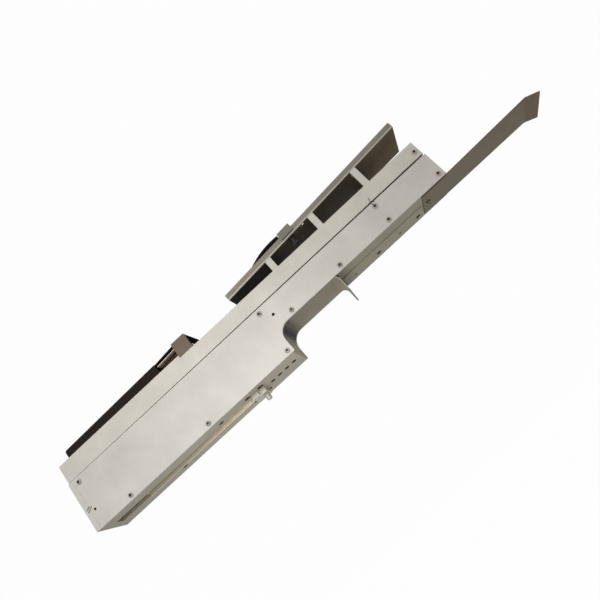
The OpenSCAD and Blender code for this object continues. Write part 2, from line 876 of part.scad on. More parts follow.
// a track side plate with posts under the tray and tabs turned in at the posts' tops
module track_plate() {
    color(track_alu) difference() {
        union() {
            across(-half_w, -half_w + track_plate_t) {
                translate([track_setback, track_z]) square([track_rear - track_setback, track_h]);
                for (x = post_xs) polygon([
                    [x - post_w / 2, track_top - cut], [x + post_w / 2, track_top - cut],
                    [x + post_w / 2, tray_under(x + post_w / 2) - post_gap],
                    [x - post_w / 2, tray_under(x - post_w / 2) - post_gap]
                ]);
            }
            on_tray() for (x = post_xs)
                translate([along_tray(x) - post_w / 2 + 0.2, -half_w + seat, -post_gap - tab_t])
                    cube([post_w - 0.4, tab_y, tab_t]);
        }
        on_tray() for (x = post_xs)
            translate([along_tray(x), -half_w + tab_hole_in, -tab_t - cut])
                cylinder(r = m3[2] + hole_gap, h = tab_t + 2 * cut);
        bar_y(track_rear - 5, track_z + 7, m3[2] + hole_gap, -half_w - cut, -half_w + track_plate_t + cut);
    }
}

module near_track_plate() {
    track_plate();
}

module far_track_plate() {
    mirror([0, 1, 0]) track_plate();
}

module deck_screw_places() {
    lean = tan(spring_lean);
    for (x = spring_xs, y = [-spring_screw_y - 4, spring_screw_y + 4])
        translate([x + (deck_z - base_t) * lean + spring_foot_len * 0.6, y, track_top]) children();
}

module track_deck() {
    color(track_alu) difference() {
        translate([track_setback, -deck_y, deck_z])
            cube([track_rear - track_setback, 2 * deck_y, deck_t]);
        deck_screw_places() sunk_hole(m4, deck_t);
    }
}

module deck_screws() {
    color(steel) deck_screw_places() sunk_screw(m4, deck_t + 5 - m4[1]);
}

module track_end_blocks() {
    block_len = 10;
    color(track_alu) difference() {
        for (x = [track_setback, track_rear - block_len])
            translate([x, -deck_y, track_z + 0.5]) cube([block_len, 2 * deck_y, deck_z - track_z - 0.5]);
        for (s = [[-half_w, -deck_y + screw_grip], [deck_y - screw_grip, half_w]])
            bar_y(track_rear - 5, track_z + 7, m3[2] + thread_gap, s[0], s[1]);
    }
}

module track_end_screws() {
    color(steel) for (s = [-1, 1])
        translate([track_rear - 5, s * half_w, track_z + 7]) rotate([-90 * s, 0, 0])
            cap_screw(m3, track_plate_t + screw_grip - 1);
}

// Lanes and bridge

module lane_plate() {
    color(grey_sheet) translate([track_setback, -half_w, track_top])
        cube([bridge_x - fit - track_setback, body_w, lane_plate_t]);
}

module lane_block() {
    lane_end = lane_x + lane_len;
    first = lane_x + lane_open - fit;
    color(black) difference() {
        across(-lane_y, lane_y) polygon([
            [lane_x, lane_top], [lane_end, lane_top],
            [lane_end, lane_crest(lane_end)],
            [lane_x + 1.5, lane_crest(lane_x)], [lane_x, lane_crest(lane_x) - 1.5]
        ]);
        for (y = lane_ys)
            translate([lane_x + lane_stop_t, y - lane_w / 2, lane_top + lane_floor_t])
                cube([lane_len, lane_w, lane_crest(lane_end) - lane_top]);
        across(-lane_y + lane_rim, lane_y - lane_rim) polygon([
            [first, lane_crest(first) - lane_cover_t - seat],
            [lane_end + cut, lane_crest(lane_end + cut) - lane_cover_t - seat],
            [lane_end + cut, lane_crest(lane_end) + lane_h], [first, lane_crest(lane_end) + lane_h]
        ]);
    }
}

// lid let into the lane block; behind the block it climbs to the bridge as a roof over the strips
module lane_cover() {
    first = lane_x + lane_open;
    lane_end = lane_x + lane_len;
    last = bridge_x - fit;
    color(black) across(-cover_y, cover_y) polygon([
        [first, lane_crest(first) - lane_cover_t], [lane_end, lane_crest(lane_end) - lane_cover_t],
        [last, bridge_top - lane_cover_t], [last, bridge_top],
        [lane_end, lane_crest(lane_end)], [first, lane_crest(first)]
    ]);
}

// steel lane floors from the lane block through the bridge
module lane_guides() {
    first = lane_x + lane_len + fit;
    color(steel) for (y = lane_ys)
        translate([first, y - lane_w / 2, lane_top])
            cube([bridge_x + bridge_len - first, lane_w, lane_floor_t]);
}

// bronze strips under the bridge that hold the parts down on their way into the lanes: in each lane one that
// broadens towards its tip and one that narrows
module lane_fingers() {
    tip_x = lane_x + lane_len + 1;
    root_x = bridge_x + finger_root;
    top = lane_top + tunnel_h - seat;
    color(bronze) for (y = lane_ys, side = [0, 1]) {
        low = top - finger_drops[side];
        tip_half = finger_tip_ws[side] / 2;
        intersection() {
            across(y - lane_w / 2, y + lane_w / 2) polygon([
                [root_x, top], [bridge_x, top], [tip_x, low],
                [tip_x, low - finger_t], [bridge_x, top - finger_t], [root_x, top - finger_t]
            ]);
            translate([0, y + finger_ys[side], 0]) linear_extrude(height = top + cut) polygon([
                [tip_x - cut, -tip_half], [bridge_x, -finger_w / 2], [root_x + cut, -finger_w / 2],
                [root_x + cut, finger_w / 2], [bridge_x, finger_w / 2], [tip_x - cut, tip_half]
            ]);
        }
    }
}

module bridge_gate() {
    rear = bridge_x + bridge_len;
    ceiling = lane_top + tunnel_h;
    mouth_y = half_w - cheek_t - bridge_leg;
    color(black) difference() {
        translate([bridge_x, -half_w + cheek_t, track_top])
            cube([bridge_len, body_w - 2 * cheek_t, bridge_top - track_top]);
        translate([bridge_x - cut, -mouth_y, lane_top])
            cube([bridge_len + 2 * cut, 2 * mouth_y, tunnel_h]);
        across(-mouth_y, mouth_y) polygon([
            [rear - mouth_in, ceiling - seat], [rear + cut, ceiling - seat],
            [rear + cut, ceiling + mouth_up], [rear, ceiling + mouth_up]
        ]);
    }
}

module bridge_cheeks() {
    color(grey_sheet) for (y = [-half_w, half_w - cheek_t])
        translate([bridge_x, y, track_top]) cube([bridge_len, cheek_t, bridge_top - track_top]);
}

// Stick tray

module stick_tray() {
    slot_from = stud_x - clamp_travel - slide_gap;
    slot_to = stud_x + clamp_travel + slide_gap;
    color(grey_sheet) on_tray() difference() {
        along(0, tray_len) difference() {
            cup_section(body_w, tray_wall_h, tray_bend_r);
            translate([0, tray_floor_t])
                cup_section(body_w - 2 * tray_wall_t, tray_wall_h, tray_bend_r - tray_wall_t);
        }
        translate([slot_from, stud_y - slot_r, -cut])
            cube([slot_to - slot_from, 2 * slot_r, tray_floor_t + 2 * cut]);
        for (x = [slot_from, slot_to])
            translate([x, stud_y, -cut]) cylinder(r = slot_r, h = tray_floor_t + 2 * cut);
        tray_screw_places() translate([0, 0, -cut])
            cylinder(r = m3[2] + thread_gap, h = tray_floor_t + 2 * cut);
    }
}

module tray_screw_places() {
    for (x = post_xs, y = [-half_w + tab_hole_in, half_w - tab_hole_in]) translate([along_tray(x), y, 0])
        children();
}

module tray_screws() {
    color(steel) on_tray() tray_screw_places() translate([0, 0, -post_gap - tab_t]) rotate([180, 0, 0])
        cap_screw(m3, post_gap + tab_t + tray_floor_t);
}

// Stick clamp

// saddle over the tray's near wall, with chamfered shoulders
module clamp_section() {
    out_y = -half_w - slide_gap - clamp_out;
    in_y = -clamp_in + clamp_foot_w;
    difference() {
        polygon([
            [out_y, clamp_low], [in_y, clamp_low], [in_y, clamp_h - clamp_chamfer],
            [in_y - clamp_chamfer, clamp_h], [out_y + clamp_chamfer, clamp_h],
            [out_y, clamp_h - clamp_chamfer]
        ]);
        translate([-half_w - slide_gap, 0]) square([tray_wall_t + 2 * slide_gap, tray_wall_h + slide_gap]);
    }
    translate([-clamp_in, tray_floor_t + slide_gap]) square([clamp_foot_w, clamp_low]);
}

module clamp_block() {
    color("#736c62") on_tray() difference() {
        union() {
            along(clamp_at, clamp_at + clamp_len) clamp_section();
            translate([clamp_at + clamp_len - seat, -clamp_in, tray_floor_t + slide_gap])
                cube([shoe_len + seat, clamp_foot_w, shoe_t]);
        }
        translate([stud_x, stud_y, -cut]) cylinder(r = stud_r + thread_gap, h = stud_up + cut);
        bar_y(leaf_pin_x, leaf_pin_z, leaf_pin_r + thread_gap, -clamp_in + 1, 0);
    }
}

module clamp_stud() {
    color(steel) on_tray() translate([stud_x, stud_y, -bar_drop - bar_t])
        cylinder(r = stud_r, h = bar_drop + bar_t + stud_up);
}

module clamp_washer() {
    color(steel) on_tray() translate([stud_x, stud_y, -slide_gap - washer_t]) difference() {
        cylinder(r = washer_r, h = washer_t);
        translate([0, 0, -cut]) cylinder(r = stud_r + thread_gap, h = washer_t + 2 * cut);
    }
}

// finger bar with a collar that tightens the clamp from below
module clamp_bar() {
    reach = (bar_len - bar_w) / 2;
    top = -slide_gap - washer_t - seat;
    color(steel) on_tray() translate([stud_x, stud_y, 0]) difference() {
        union() {
            translate([0, 0, -bar_drop - seat]) cylinder(r = bar_stem_r, h = bar_drop + seat + top);
            translate([-reach, -bar_w / 2, -bar_drop - bar_t]) cube([2 * reach, bar_w, bar_t]);
            for (x = [-reach, reach]) translate([x, 0, -bar_drop - bar_t]) cylinder(d = bar_w, h = bar_t);
        }
        translate([0, 0, -bar_drop - bar_t - cut])
            cylinder(r = stud_r + thread_gap, h = bar_drop + bar_t + 2 * cut);
    }
}

module leaf_pin() {
    far_y = leaf_y + leaf_w;
    color(steel) on_tray() {
        bar_y(leaf_pin_x, leaf_pin_z, leaf_pin_r, -clamp_in + 1, far_y + leaf_pin_end);
        bar_y(leaf_pin_x, leaf_pin_z, leaf_eye_r, far_y + slide_gap, far_y + leaf_pin_end);
    }
}

// bowed strip that turns on its pin with a rolled eye; in front of the clamp it reaches the wall
module hold_down_leaf() {
    crest_z = leaf_pin_z + leaf_eye_r - leaf_t;
    bow_z = crest_z - leaf_bow_r + leaf_apex * leaf_apex / (2 * leaf_bow_r);
    far_y = leaf_y + leaf_w;
    color(black) on_tray() difference() {
        across(-clamp_in, far_y) union() {
            translate([leaf_pin_x, leaf_pin_z]) circle(r = leaf_eye_r);
            intersection() {
                translate([leaf_pin_x - leaf_apex, bow_z]) difference() {
                    circle(r = leaf_bow_r + leaf_t, $fn = 360);
                    circle(r = leaf_bow_r, $fn = 360);
                }
                translate([leaf_pin_x - leaf_len, 0]) square([leaf_len, clamp_h + leaf_apex]);
            }
        }
        translate([clamp_at - leaf_front_gap, -half_w, 0])
            cube([clamp_len, half_w + leaf_y, clamp_h + leaf_apex]);
        bar_y(leaf_pin_x, leaf_pin_z, leaf_pin_r + thread_gap, leaf_y - cut, far_y + cut);
    }
}

placed() base_plate();
placed() front_block();
placed() rear_block();
placed() near_side_cover();
placed() far_side_plate();
placed() hook_plate();
placed() neck_floor();
placed() neck_strip();
placed() neck_rails();
placed() cross_spacers();
placed() tail_plate();
placed() tail_screw();
placed() guide_rail();
placed() pin_block();
placed() locating_pin();
placed() base_screws();
placed() near_cover_screws();
placed() far_cover_screws();
placed() spring_feet();
placed() lower_clamp_plates();
placed() lower_spring_screws();
placed() leaf_spring_front();
placed() leaf_spring_rear();
placed() magnet_bracket();
placed() magnet_core();
placed() magnet_coil();
placed() magnet_screws();
placed() driver_board();
placed() board_components();
placed() board_standoffs();
placed() trimmer_body();
placed() near_track_plate();
placed() far_track_plate();
placed() track_deck();
placed() track_end_blocks();
placed() track_end_screws();
placed() lane_plate();
placed() lane_block();
placed() lane_cover();
placed() lane_guides();
placed() lane_fingers();
placed() bridge_gate();
placed() bridge_cheeks();
placed() stick_tray();
placed() tray_screws();
placed() spring_heads();
placed() upper_clamp_plates();
placed() upper_spring_screws();
placed() deck_screws();
placed() armature();
placed() armature_bracket();
placed() armature_screws();
placed() clamp_block();
placed() clamp_stud();
placed() clamp_washer();
placed() clamp_bar();
placed() leaf_pin();
placed() hold_down_leaf();
placed() trimmer_rotor();
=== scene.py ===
# %% [markdown]
# # A stick feeder, dressed around its construction model
#
# The object is a vibrating feeder for surface-mount placement machines: a long notched housing of
# aluminium, a track on hidden leaf springs above it, a black lane block at the pick-up end, a sloping
# tray for plastic sticks, and a sheet tail behind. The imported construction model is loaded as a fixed
# frame. Every piece made here sits in that frame, in metres, and rides on one of its bodies.

# %% Load the frame
import json
import math

import bmesh
import bpy
from mathutils import Matrix, Vector
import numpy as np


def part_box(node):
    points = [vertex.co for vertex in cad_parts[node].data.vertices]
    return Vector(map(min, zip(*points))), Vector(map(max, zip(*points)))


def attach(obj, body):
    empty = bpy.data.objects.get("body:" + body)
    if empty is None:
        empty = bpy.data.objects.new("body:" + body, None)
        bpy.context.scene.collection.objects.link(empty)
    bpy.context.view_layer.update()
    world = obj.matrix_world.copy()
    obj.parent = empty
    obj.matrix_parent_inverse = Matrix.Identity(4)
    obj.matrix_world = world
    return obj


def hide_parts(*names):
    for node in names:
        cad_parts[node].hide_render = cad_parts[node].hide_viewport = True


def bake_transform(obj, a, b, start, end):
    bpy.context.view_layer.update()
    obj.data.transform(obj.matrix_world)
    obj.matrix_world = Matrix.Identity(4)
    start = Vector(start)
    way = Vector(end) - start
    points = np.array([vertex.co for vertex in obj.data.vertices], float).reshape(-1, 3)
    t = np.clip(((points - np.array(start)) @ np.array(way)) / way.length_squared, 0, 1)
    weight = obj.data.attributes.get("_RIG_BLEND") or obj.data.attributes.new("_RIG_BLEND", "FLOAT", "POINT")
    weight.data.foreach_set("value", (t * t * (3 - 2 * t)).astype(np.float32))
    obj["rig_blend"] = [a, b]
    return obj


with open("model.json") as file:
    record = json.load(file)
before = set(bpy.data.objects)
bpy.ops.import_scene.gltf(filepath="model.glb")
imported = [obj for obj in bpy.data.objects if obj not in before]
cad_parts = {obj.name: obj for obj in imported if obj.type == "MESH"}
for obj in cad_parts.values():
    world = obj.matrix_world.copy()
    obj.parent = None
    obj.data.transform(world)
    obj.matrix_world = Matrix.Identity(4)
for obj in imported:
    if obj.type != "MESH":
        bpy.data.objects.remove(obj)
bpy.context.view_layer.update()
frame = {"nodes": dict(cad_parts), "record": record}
nodes = frame["nodes"]
bodies = frame["record"]["behaviour"]["bodies"]
body_of_node = {name: body for body, names in bodies.items() for name in names}
MM = 0.001
print("nodes in the frame:", len(nodes))

# %% [markdown]
# ## Camera
#
# The camera was fitted to the straight edges of the housing: it stands low, on the near side, and looks
# up a little, rolled by about 42 degrees. Its place and axes are written out here, so the frame matches
# the photograph without any shift of the lens.

# %% Camera
CAMERA_PLACE = Vector((0.12307, -0.59944, -0.16545))
CAMERA_RIGHT = Vector((0.7319, 0.2657, -0.6275)).normalized()
CAMERA_LOOK = Vector((-0.0499, 0.9393, 0.3396)).normalized()
SENSOR_WIDTH = 36
FOCAL_LENGTH = 36
CLIP_START = 0.01


def add_object(name, data):
    """An object that shows this data, linked to the scene."""
    made = bpy.data.objects.new(name, data)
    bpy.context.scene.collection.objects.link(made)
    return made


camera_back = -CAMERA_LOOK
camera_up = camera_back.cross(CAMERA_RIGHT).normalized()
camera_right = camera_up.cross(camera_back).normalized()
camera_axes = Matrix((camera_right, camera_up, camera_back)).transposed().to_4x4()
camera_data = bpy.data.cameras.new("photo_camera")
camera_data.sensor_width = SENSOR_WIDTH
camera_data.lens = FOCAL_LENGTH
camera_data.clip_start = CLIP_START
camera = add_object("photo_camera", camera_data)
camera.matrix_world = Matrix.Translation(CAMERA_PLACE) @ camera_axes
bpy.context.scene.camera = camera
print("camera at", tuple(round(v, 3) for v in camera.location))

# %% [markdown]
# ## Colours and node trees
#
# Colours are written as they look on a screen, as hex values, and Blender's nodes want them linear. One
# function does that. A second one adds any node to any tree with its settings and its links, so a finish
# reads as a short list.


# %% Colour and node helpers
def linear(hex_colour):
    """An sRGB hex colour as linear RGBA."""
    parts = [int(hex_colour[i:i + 2], 16) / 255 for i in (1, 3, 5)]
    return [p / 12.92 if p <= 0.04045 else ((p + 0.055) / 1.055) ** 2.4 for p in parts] + [1.0]


def add_node(tree, kind, inputs=(), **settings):
    """One node with its settings; each input is a value or the socket that feeds it."""
    node = tree.nodes.new(kind)
    for name, value in settings.items():
        setattr(node, name, value)
    for key, value in dict(inputs).items():
        if isinstance(value, bpy.types.NodeSocket):
            tree.links.new(value, node.inputs[key])
        else:
            node.inputs[key].default_value = value
    return node


def per_mm(size):
    """The texture scale that gives features of about this many millimetres on Object coordinates."""
    return 1 / (size * MM)


def blank_finish(name):
    """A material with its tree, its Principled shader and its Object coordinates."""
    material = bpy.data.materials.new(name)
    material.use_nodes = True
    tree = material.node_tree
    place = add_node(tree, "ShaderNodeTexCoord").outputs["Object"]
    return material, tree, tree.nodes["Principled BSDF"], place


print("white in linear light:", linear("#ffffff")[:3])

# %% [markdown]
# ## Scuffs on the near side
#
# The real feeder has a few dark scuffs: two short strokes beside the front edge, and a scratch that
# crosses the seam near the rear. Thin strips of mesh would stand proud of the sheet, so they are drawn in
# its finish. Each stroke is a line between two points of the near face. The nodes measure the distance
# to that line and darken what lies within about a millimetre, with noise so that the mark frays.

# %% Scuff marks
FRONT_SCUFFS = [((-210.4, 30.4), (-215.8, 27.2)), ((-212.8, 32.0), (-216.4, 29.8))]
REAR_SCRATCH = [((213.8, 71.0), (212.2, 64.4)), ((212.2, 64.4), (213.4, 60.6)),
                ((210.4, 66.6), (215.6, 64.6))]
SCUFF_CORE = 0.14
SCUFF_EDGE = 1.12
FRAY_GRAIN = 1.2
FRAY_WINDOW = (0.3, 0.55)
FRAY_LEAST = 0.3
NEAR_FACE = -28.4


def scuff_mask(tree, place, lines):
    """A 0 to 1 socket, high on lines that are two points (x, z) each, in millimetres on the near face."""
    flat = add_node(tree, "ShaderNodeVectorMath", {
        0: place, 1: (1, 0, 1)}, operation="MULTIPLY").outputs["Vector"]
    fray = add_node(tree, "ShaderNodeTexNoise", {
        "Vector": place, "Scale": per_mm(FRAY_GRAIN), "Detail": 2.0}).outputs["Fac"]
    total = None
    for (x0, z0), (x1, z1) in lines:
        run = Vector((x1 - x0, 0, z1 - z0)) * MM
        from_start = add_node(tree, "ShaderNodeVectorMath", {
            0: flat, 1: (x0 * MM, 0, z0 * MM)}, operation="SUBTRACT").outputs["Vector"]
        share = add_node(tree, "ShaderNodeVectorMath", {
            0: from_start, 1: run / run.length_squared}, operation="DOT_PRODUCT").outputs["Value"]
        share = add_node(tree, "ShaderNodeClamp", {"Value": share}).outputs["Result"]
        nearest = add_node(tree, "ShaderNodeVectorMath", {
            0: run, "Scale": share}, operation="SCALE").outputs["Vector"]
        away = add_node(tree, "ShaderNodeVectorMath", {
            0: from_start, 1: nearest}, operation="DISTANCE").outputs["Value"]
        mark = add_node(tree, "ShaderNodeMapRange", {
            "Value": away, "From Min": SCUFF_CORE * MM, "From Max": SCUFF_EDGE * MM,
            "To Min": 1.0, "To Max": 0.0}).outputs["Result"]
        total = mark if total is None else add_node(
            tree, "ShaderNodeMath", {0: total, 1: mark}, operation="MAXIMUM").outputs["Value"]
    torn = add_node(tree, "ShaderNodeMapRange", {
        "Value": fray, "From Min": FRAY_WINDOW[0], "From Max": FRAY_WINDOW[1],
        "To Min": FRAY_LEAST, "To Max": 1.0}).outputs["Result"]
    frayed = add_node(tree, "ShaderNodeMath", {0: total, 1: torn}, operation="MULTIPLY").outputs["Value"]
    side = add_node(tree, "ShaderNodeSeparateXYZ", {"Vector": place}).outputs["Y"]
    near = add_node(tree, "ShaderNodeMath", {
        0: side, 1: NEAR_FACE * MM}, operation="LESS_THAN").outputs["Value"]
    return add_node(tree, "ShaderNodeMath", {
        0: frayed, 1: near}, operation="MULTIPLY", use_clamp=True).outputs["Value"]


print("scuffs:", len(FRONT_SCUFFS) + len(REAR_SCRATCH))

# %% [markdown]
# ## Metal finishes
#
# Most of the feeder is aluminium sheet and plate. Rolled or brushed sheet has a fine grain along its length,
# which scatters highlights into streaks, cloudy patches from handling, and bright edges where the anodising
# is rubbed through. The grain is a noise stretched along X. The bright edges come from an attribute named
# wear_and_painted_light, which the bevelled copies further down carry on their bevel faces: it gives them a
# paler colour for edge rub and a painted highlight, and on some pieces a painted highlight or painted shade
# alone. The grain is drawn coarser than the real one, which would be finer than a pixel.

# %% Metal finish
CLOUD_WINDOW = (0.3, 0.7)
STREAK_WINDOW = (0.25, 0.75)
ROUGHNESS_SPREAD = 0.06
METAL_RELIEF = 0.05
RELIEF_DEPTH = 0.1 * MM
SCUFF_BROWN = "#3d362a"


def metal_finish(name, colour, worn_and_painted, roughness, metallic, grain=(9.0, 0.5), cloud=38.0, cloud_depth=0.10,
                 streak=0.055, scuffs=(), levels=(), gloss=0.5):
    """A metal with a stretched grain, soft clouds and a second colour on its edges, for edge rub and painted
    light. It may have scuffs, levels of painted shade and light as (x in mm, share), and a gloss under 0.5
    for duller reflections."""
    material, tree, shader, place = blank_finish(name)
    stretched = add_node(tree, "ShaderNodeMapping", {
        "Vector": place, "Scale": (per_mm(grain[0]), per_mm(grain[1]), per_mm(grain[1]))})
    streaks = add_node(tree, "ShaderNodeTexNoise", {
        "Vector": stretched.outputs["Vector"], "Scale": 1.0, "Detail": 3.0, "Roughness": 0.6}).outputs["Fac"]
    clouds = add_node(tree, "ShaderNodeTexNoise", {
        "Vector": place, "Scale": per_mm(cloud), "Detail": 4.0, "Roughness": 0.55}).outputs["Fac"]
    dark = [c * (1 - cloud_depth) for c in linear(colour)[:3]] + [1]
    light = [min(1, c * (1 + cloud_depth / 2)) for c in linear(colour)[:3]] + [1]
    shade = add_node(tree, "ShaderNodeMapRange", {
        "Value": clouds, "From Min": CLOUD_WINDOW[0], "From Max": CLOUD_WINDOW[1]})
    clouded = add_node(tree, "ShaderNodeMix", {
        "Factor": shade.outputs["Result"], "A": dark, "B": light}, data_type="RGBA")
    streak_shade = add_node(tree, "ShaderNodeMapRange", {
        "Value": streaks, "From Min": STREAK_WINDOW[0], "From Max": STREAK_WINDOW[1],
        "To Min": 1 - streak, "To Max": 1 + streak})
    streaked = add_node(tree, "ShaderNodeVectorMath", {
        0: clouded.outputs["Result"], "Scale": streak_shade.outputs["Result"]}, operation="SCALE")
    # edge rub, painted highlights and painted shade come in through this attribute
    wear_and_painted_light = add_node(tree, "ShaderNodeAttribute", attribute_name="wear_and_painted_light")
    tone = add_node(tree, "ShaderNodeMix", {
        "Factor": wear_and_painted_light.outputs["Fac"], "A": streaked.outputs["Vector"], "B": linear(worn_and_painted)},
        data_type="RGBA").outputs["Result"]
    # the levels paint shade and light along X
    if levels:
        first, last = levels[0][0], levels[-1][0]
        along = add_node(tree, "ShaderNodeSeparateXYZ", {"Vector": place}).outputs["X"]
        share = add_node(tree, "ShaderNodeMapRange", {
            "Value": along, "From Min": first * MM, "From Max": last * MM}).outputs["Result"]
        ramp = add_node(tree, "ShaderNodeValToRGB", {"Fac": share})
        for x, _ in levels[1:-1]:
            ramp.color_ramp.elements.new((x - first) / (last - first))
        for stop, (_, level) in zip(ramp.color_ramp.elements, levels):
            stop.color = (level, level, level, 1)
        tone = add_node(tree, "ShaderNodeVectorMath", {
            0: tone, 1: ramp.outputs["Color"]}, operation="MULTIPLY").outputs["Vector"]
    if scuffs:
        tone = add_node(tree, "ShaderNodeMix", {
            "Factor": scuff_mask(tree, place, scuffs), "A": tone, "B": linear(SCUFF_BROWN)},
            data_type="RGBA").outputs["Result"]
    rough = add_node(tree, "ShaderNodeMapRange", {
        "Value": streaks, "From Min": STREAK_WINDOW[0], "From Max": STREAK_WINDOW[1],
        "To Min": roughness - ROUGHNESS_SPREAD, "To Max": roughness + ROUGHNESS_SPREAD})
    relief = add_node(tree, "ShaderNodeBump", {
        "Height": streaks, "Strength": METAL_RELIEF, "Distance": RELIEF_DEPTH})
    tree.links.new(tone, shader.inputs["Base Color"])
    tree.links.new(rough.outputs["Result"], shader.inputs["Roughness"])
    tree.links.new(relief.outputs["Normal"], shader.inputs["Normal"])
    shader.inputs["Metallic"].default_value = metallic
    shader.inputs["Specular IOR Level"].default_value = gloss
    return material


print("noise that makes clouds, streaks:", CLOUD_WINDOW, STREAK_WINDOW)

# %% [markdown]
# The construction model gives each node a material slot, so most finishes are listed by slot. A finish says
# what the metal is and how it was made, then its colour, a second colour for edge rub and painted light, and
# how rough and how metallic it is. Sheet with an oxide skin or dirt on it looks far less metallic than bare
# steel, which is why most of these are low.

# %% Metals by slot
finishes = {
    # clear anodised sheet, brushed: pale, warm and matt, bright at its edges
    "cover_aluminium": metal_finish("anodised_cover_sheet", "#cfcac2", "#e4e0d9", roughness=0.48,
                                    metallic=0.2, scuffs=FRONT_SCUFFS + REAR_SCRATCH),
    # milled plate, lightly blasted: greyer and streaked along its length, with painted shade towards the
    # front
    "base_aluminium": metal_finish("blasted_base_plate", "#bfb7a4", "#d7cfbe", roughness=0.55, metallic=0.2,
                                   grain=(90.0, 1.8), streak=0.16, levels=((-215, 0.72), (-90, 1.0))),
    # satin anodised plate: very slightly yellow beside the covers
    "track_aluminium": metal_finish("satin_track_plate", "#cfcabf", "#e4e0d6", roughness=0.45, metallic=0.2,
                                    scuffs=REAR_SCRATCH),
    # turned and ground steel: the shiniest metal here
    "bright_steel": metal_finish("bright_turned_steel", "#cbc6bb", "#e2ded4", roughness=0.30, metallic=0.8,
                                 grain=(2.0, 0.4)),
    # plain rolled sheet of the tray: mid grey with a long grain, and a paler second colour that paints the
    # highlight on its folds
    "sheet_steel": metal_finish("rolled_tray_sheet", "#857e73", "#c2bbae", roughness=0.42, metallic=0.4,
                                grain=(14.0, 0.5)),
    # sheet of the tail: warm and dull, and painted dark with the shade it lies in
    "dark_sheet": metal_finish("tail_sheet_painted_shade", "#6a5b42", "#90826a", roughness=0.55, metallic=0.15,
                               grain=(10.0, 1.5)),
    # coated clamp block: mid grey, a little warm and dull
    "clamp_grey": metal_finish("coated_clamp_block", "#7b7468", "#a09889", roughness=0.5, metallic=0.25,
                               grain=(2.0, 0.8)),
    # blackened spring steel of the hold-down leaf: nearly black, with a soft sheen
    "black_steel": metal_finish("blackened_spring_steel", "#16110d", "#38312a", roughness=0.5, metallic=0.1,
                                grain=(8.0, 0.6)),
    # drawn bar of the rail: dull brass, with a painted highlight along its lip and painted shade towards the
    # front
    "gold_rail": metal_finish("drawn_brass_rail", "#c9bb9f", "#f1e6cc", roughness=0.35, metallic=0.35,
                              grain=(20.0, 0.8), levels=((-160, 0.6), (-100, 0.72), (-25, 1.0))),
    # rolled spring bronze of the lane fingers: brown, and pale on the near finger as a painted highlight
    "bronze_strip": metal_finish("rolled_spring_bronze", "#8f7356", "#f6e8da", roughness=0.4, metallic=0.4,
                                 grain=(20.0, 2.0)),
    # stacked iron sheets of the magnet: dark grey with fine lines
    "core_iron": metal_finish("stacked_core_iron", "#5a5752", "#7d7972", roughness=0.55, metallic=0.6,
                              grain=(30.0, 0.5)),
}
print("metals by slot:", len(finishes))

# %% Metals of single pieces
# zinc-plated steel of the small screws: a pale head, and painted shade as its second colour, in the socket
screw_zinc = metal_finish("zinc_plated_screw", "#a39c91", "#241f1a", roughness=0.36, metallic=0.6,
                          grain=(1.5, 0.4))
# painted shade for the walls of drilled and tapped holes, the pin block's step and the base screws: nearly
# black
bore_shade = metal_finish("bore_painted_shade", "#2a241d", "#4a4238", roughness=0.6, metallic=0.2,
                          grain=(0.8, 0.8))
# painted shade for the tray's underside, the tabs under it and the far plate's inner side: dark and warm,
# paler towards the rear
sheet_shade = metal_finish("tray_and_plate_painted_shade", "#a99578", "#a99578", roughness=0.7, metallic=0.05,
                              grain=(14.0, 0.6), cloud_depth=0.3, gloss=0.2,
                              levels=((60, 0.07), (105, 0.12), (125, 0.26), (190, 0.2), (215, 0.23),
                                      (320, 0.78)))
# bent sheet of the hook: dull and a little brown, with painted shade in its first bend
hook_sheet = metal_finish("bent_hook_sheet", "#a69e8e", "#c9c1b1", roughness=0.6, metallic=0.1,
                          grain=(4.0, 0.8), cloud_depth=0.16, gloss=0.1,
                          levels=((54.3, 1.12), (55.6, 0.66), (57.5, 0.16), (60, 0.06), (64, 0.38),
                                  (74, 0.99), (100, 1.12)))
# milled neck: duller than the base plate, with painted shade towards its front and its rear
neck_metal = metal_finish("milled_neck_plate", "#aaa38f", "#cac2b0", roughness=0.58, metallic=0.15,
                          grain=(60.0, 1.8), streak=0.12,
                          levels=((138, 0.6), (158, 1.0), (215, 1.0), (285, 0.86)))
# ground steel of the pin and its block, handled often: satin and even
satin_steel = metal_finish("satin_ground_steel", "#c4beb1", "#d6d0c3", roughness=0.42, metallic=0.35,
                           grain=(4.0, 1.5))
# old zinc of the tail screw: dulled to grey, with painted shade in its socket
dull_zinc = metal_finish("dulled_zinc_screw", "#857d71", "#1d1915", roughness=0.5, metallic=0.3,
                         grain=(1.5, 0.6))
# black oxide of the finger bar and its stud under the tray: black, with a painted highlight in grey along
# the bar's edges
black_oxide = metal_finish("black_oxide_steel", "#1c1713", "#4a433b", roughness=0.5, metallic=0.3,
                           grain=(1.5, 0.5))
# coated sheet of the bridge cheeks: brown-grey, with small clouds
cheek_coat = metal_finish("coated_bridge_cheek", "#68594a", "#8b7d6b", roughness=0.5, metallic=0.25,
                          grain=(3.0, 0.8), cloud=12.0)
print("materials so far:", len(bpy.data.materials))

# %% [markdown]
# ## Moulded plastic, copper wire and the circuit board
#
# The lane block and the bridge are black moulded plastic with a fine spark-eroded grain. The coil is
# enamelled wire, wound in layers, so its bands run round the winding. The board is green lacquer over
# glass fibre, with a faint weave.

# %% Plastic, copper and board finishes
PLASTIC_GRAIN = 0.6
PLASTIC_SPREAD = 0.08
PLASTIC_RELIEF = 0.12
DUST_SIZE = 25
DUST_WINDOW = (0.45, 0.8)
DUST_SHARE = 0.2


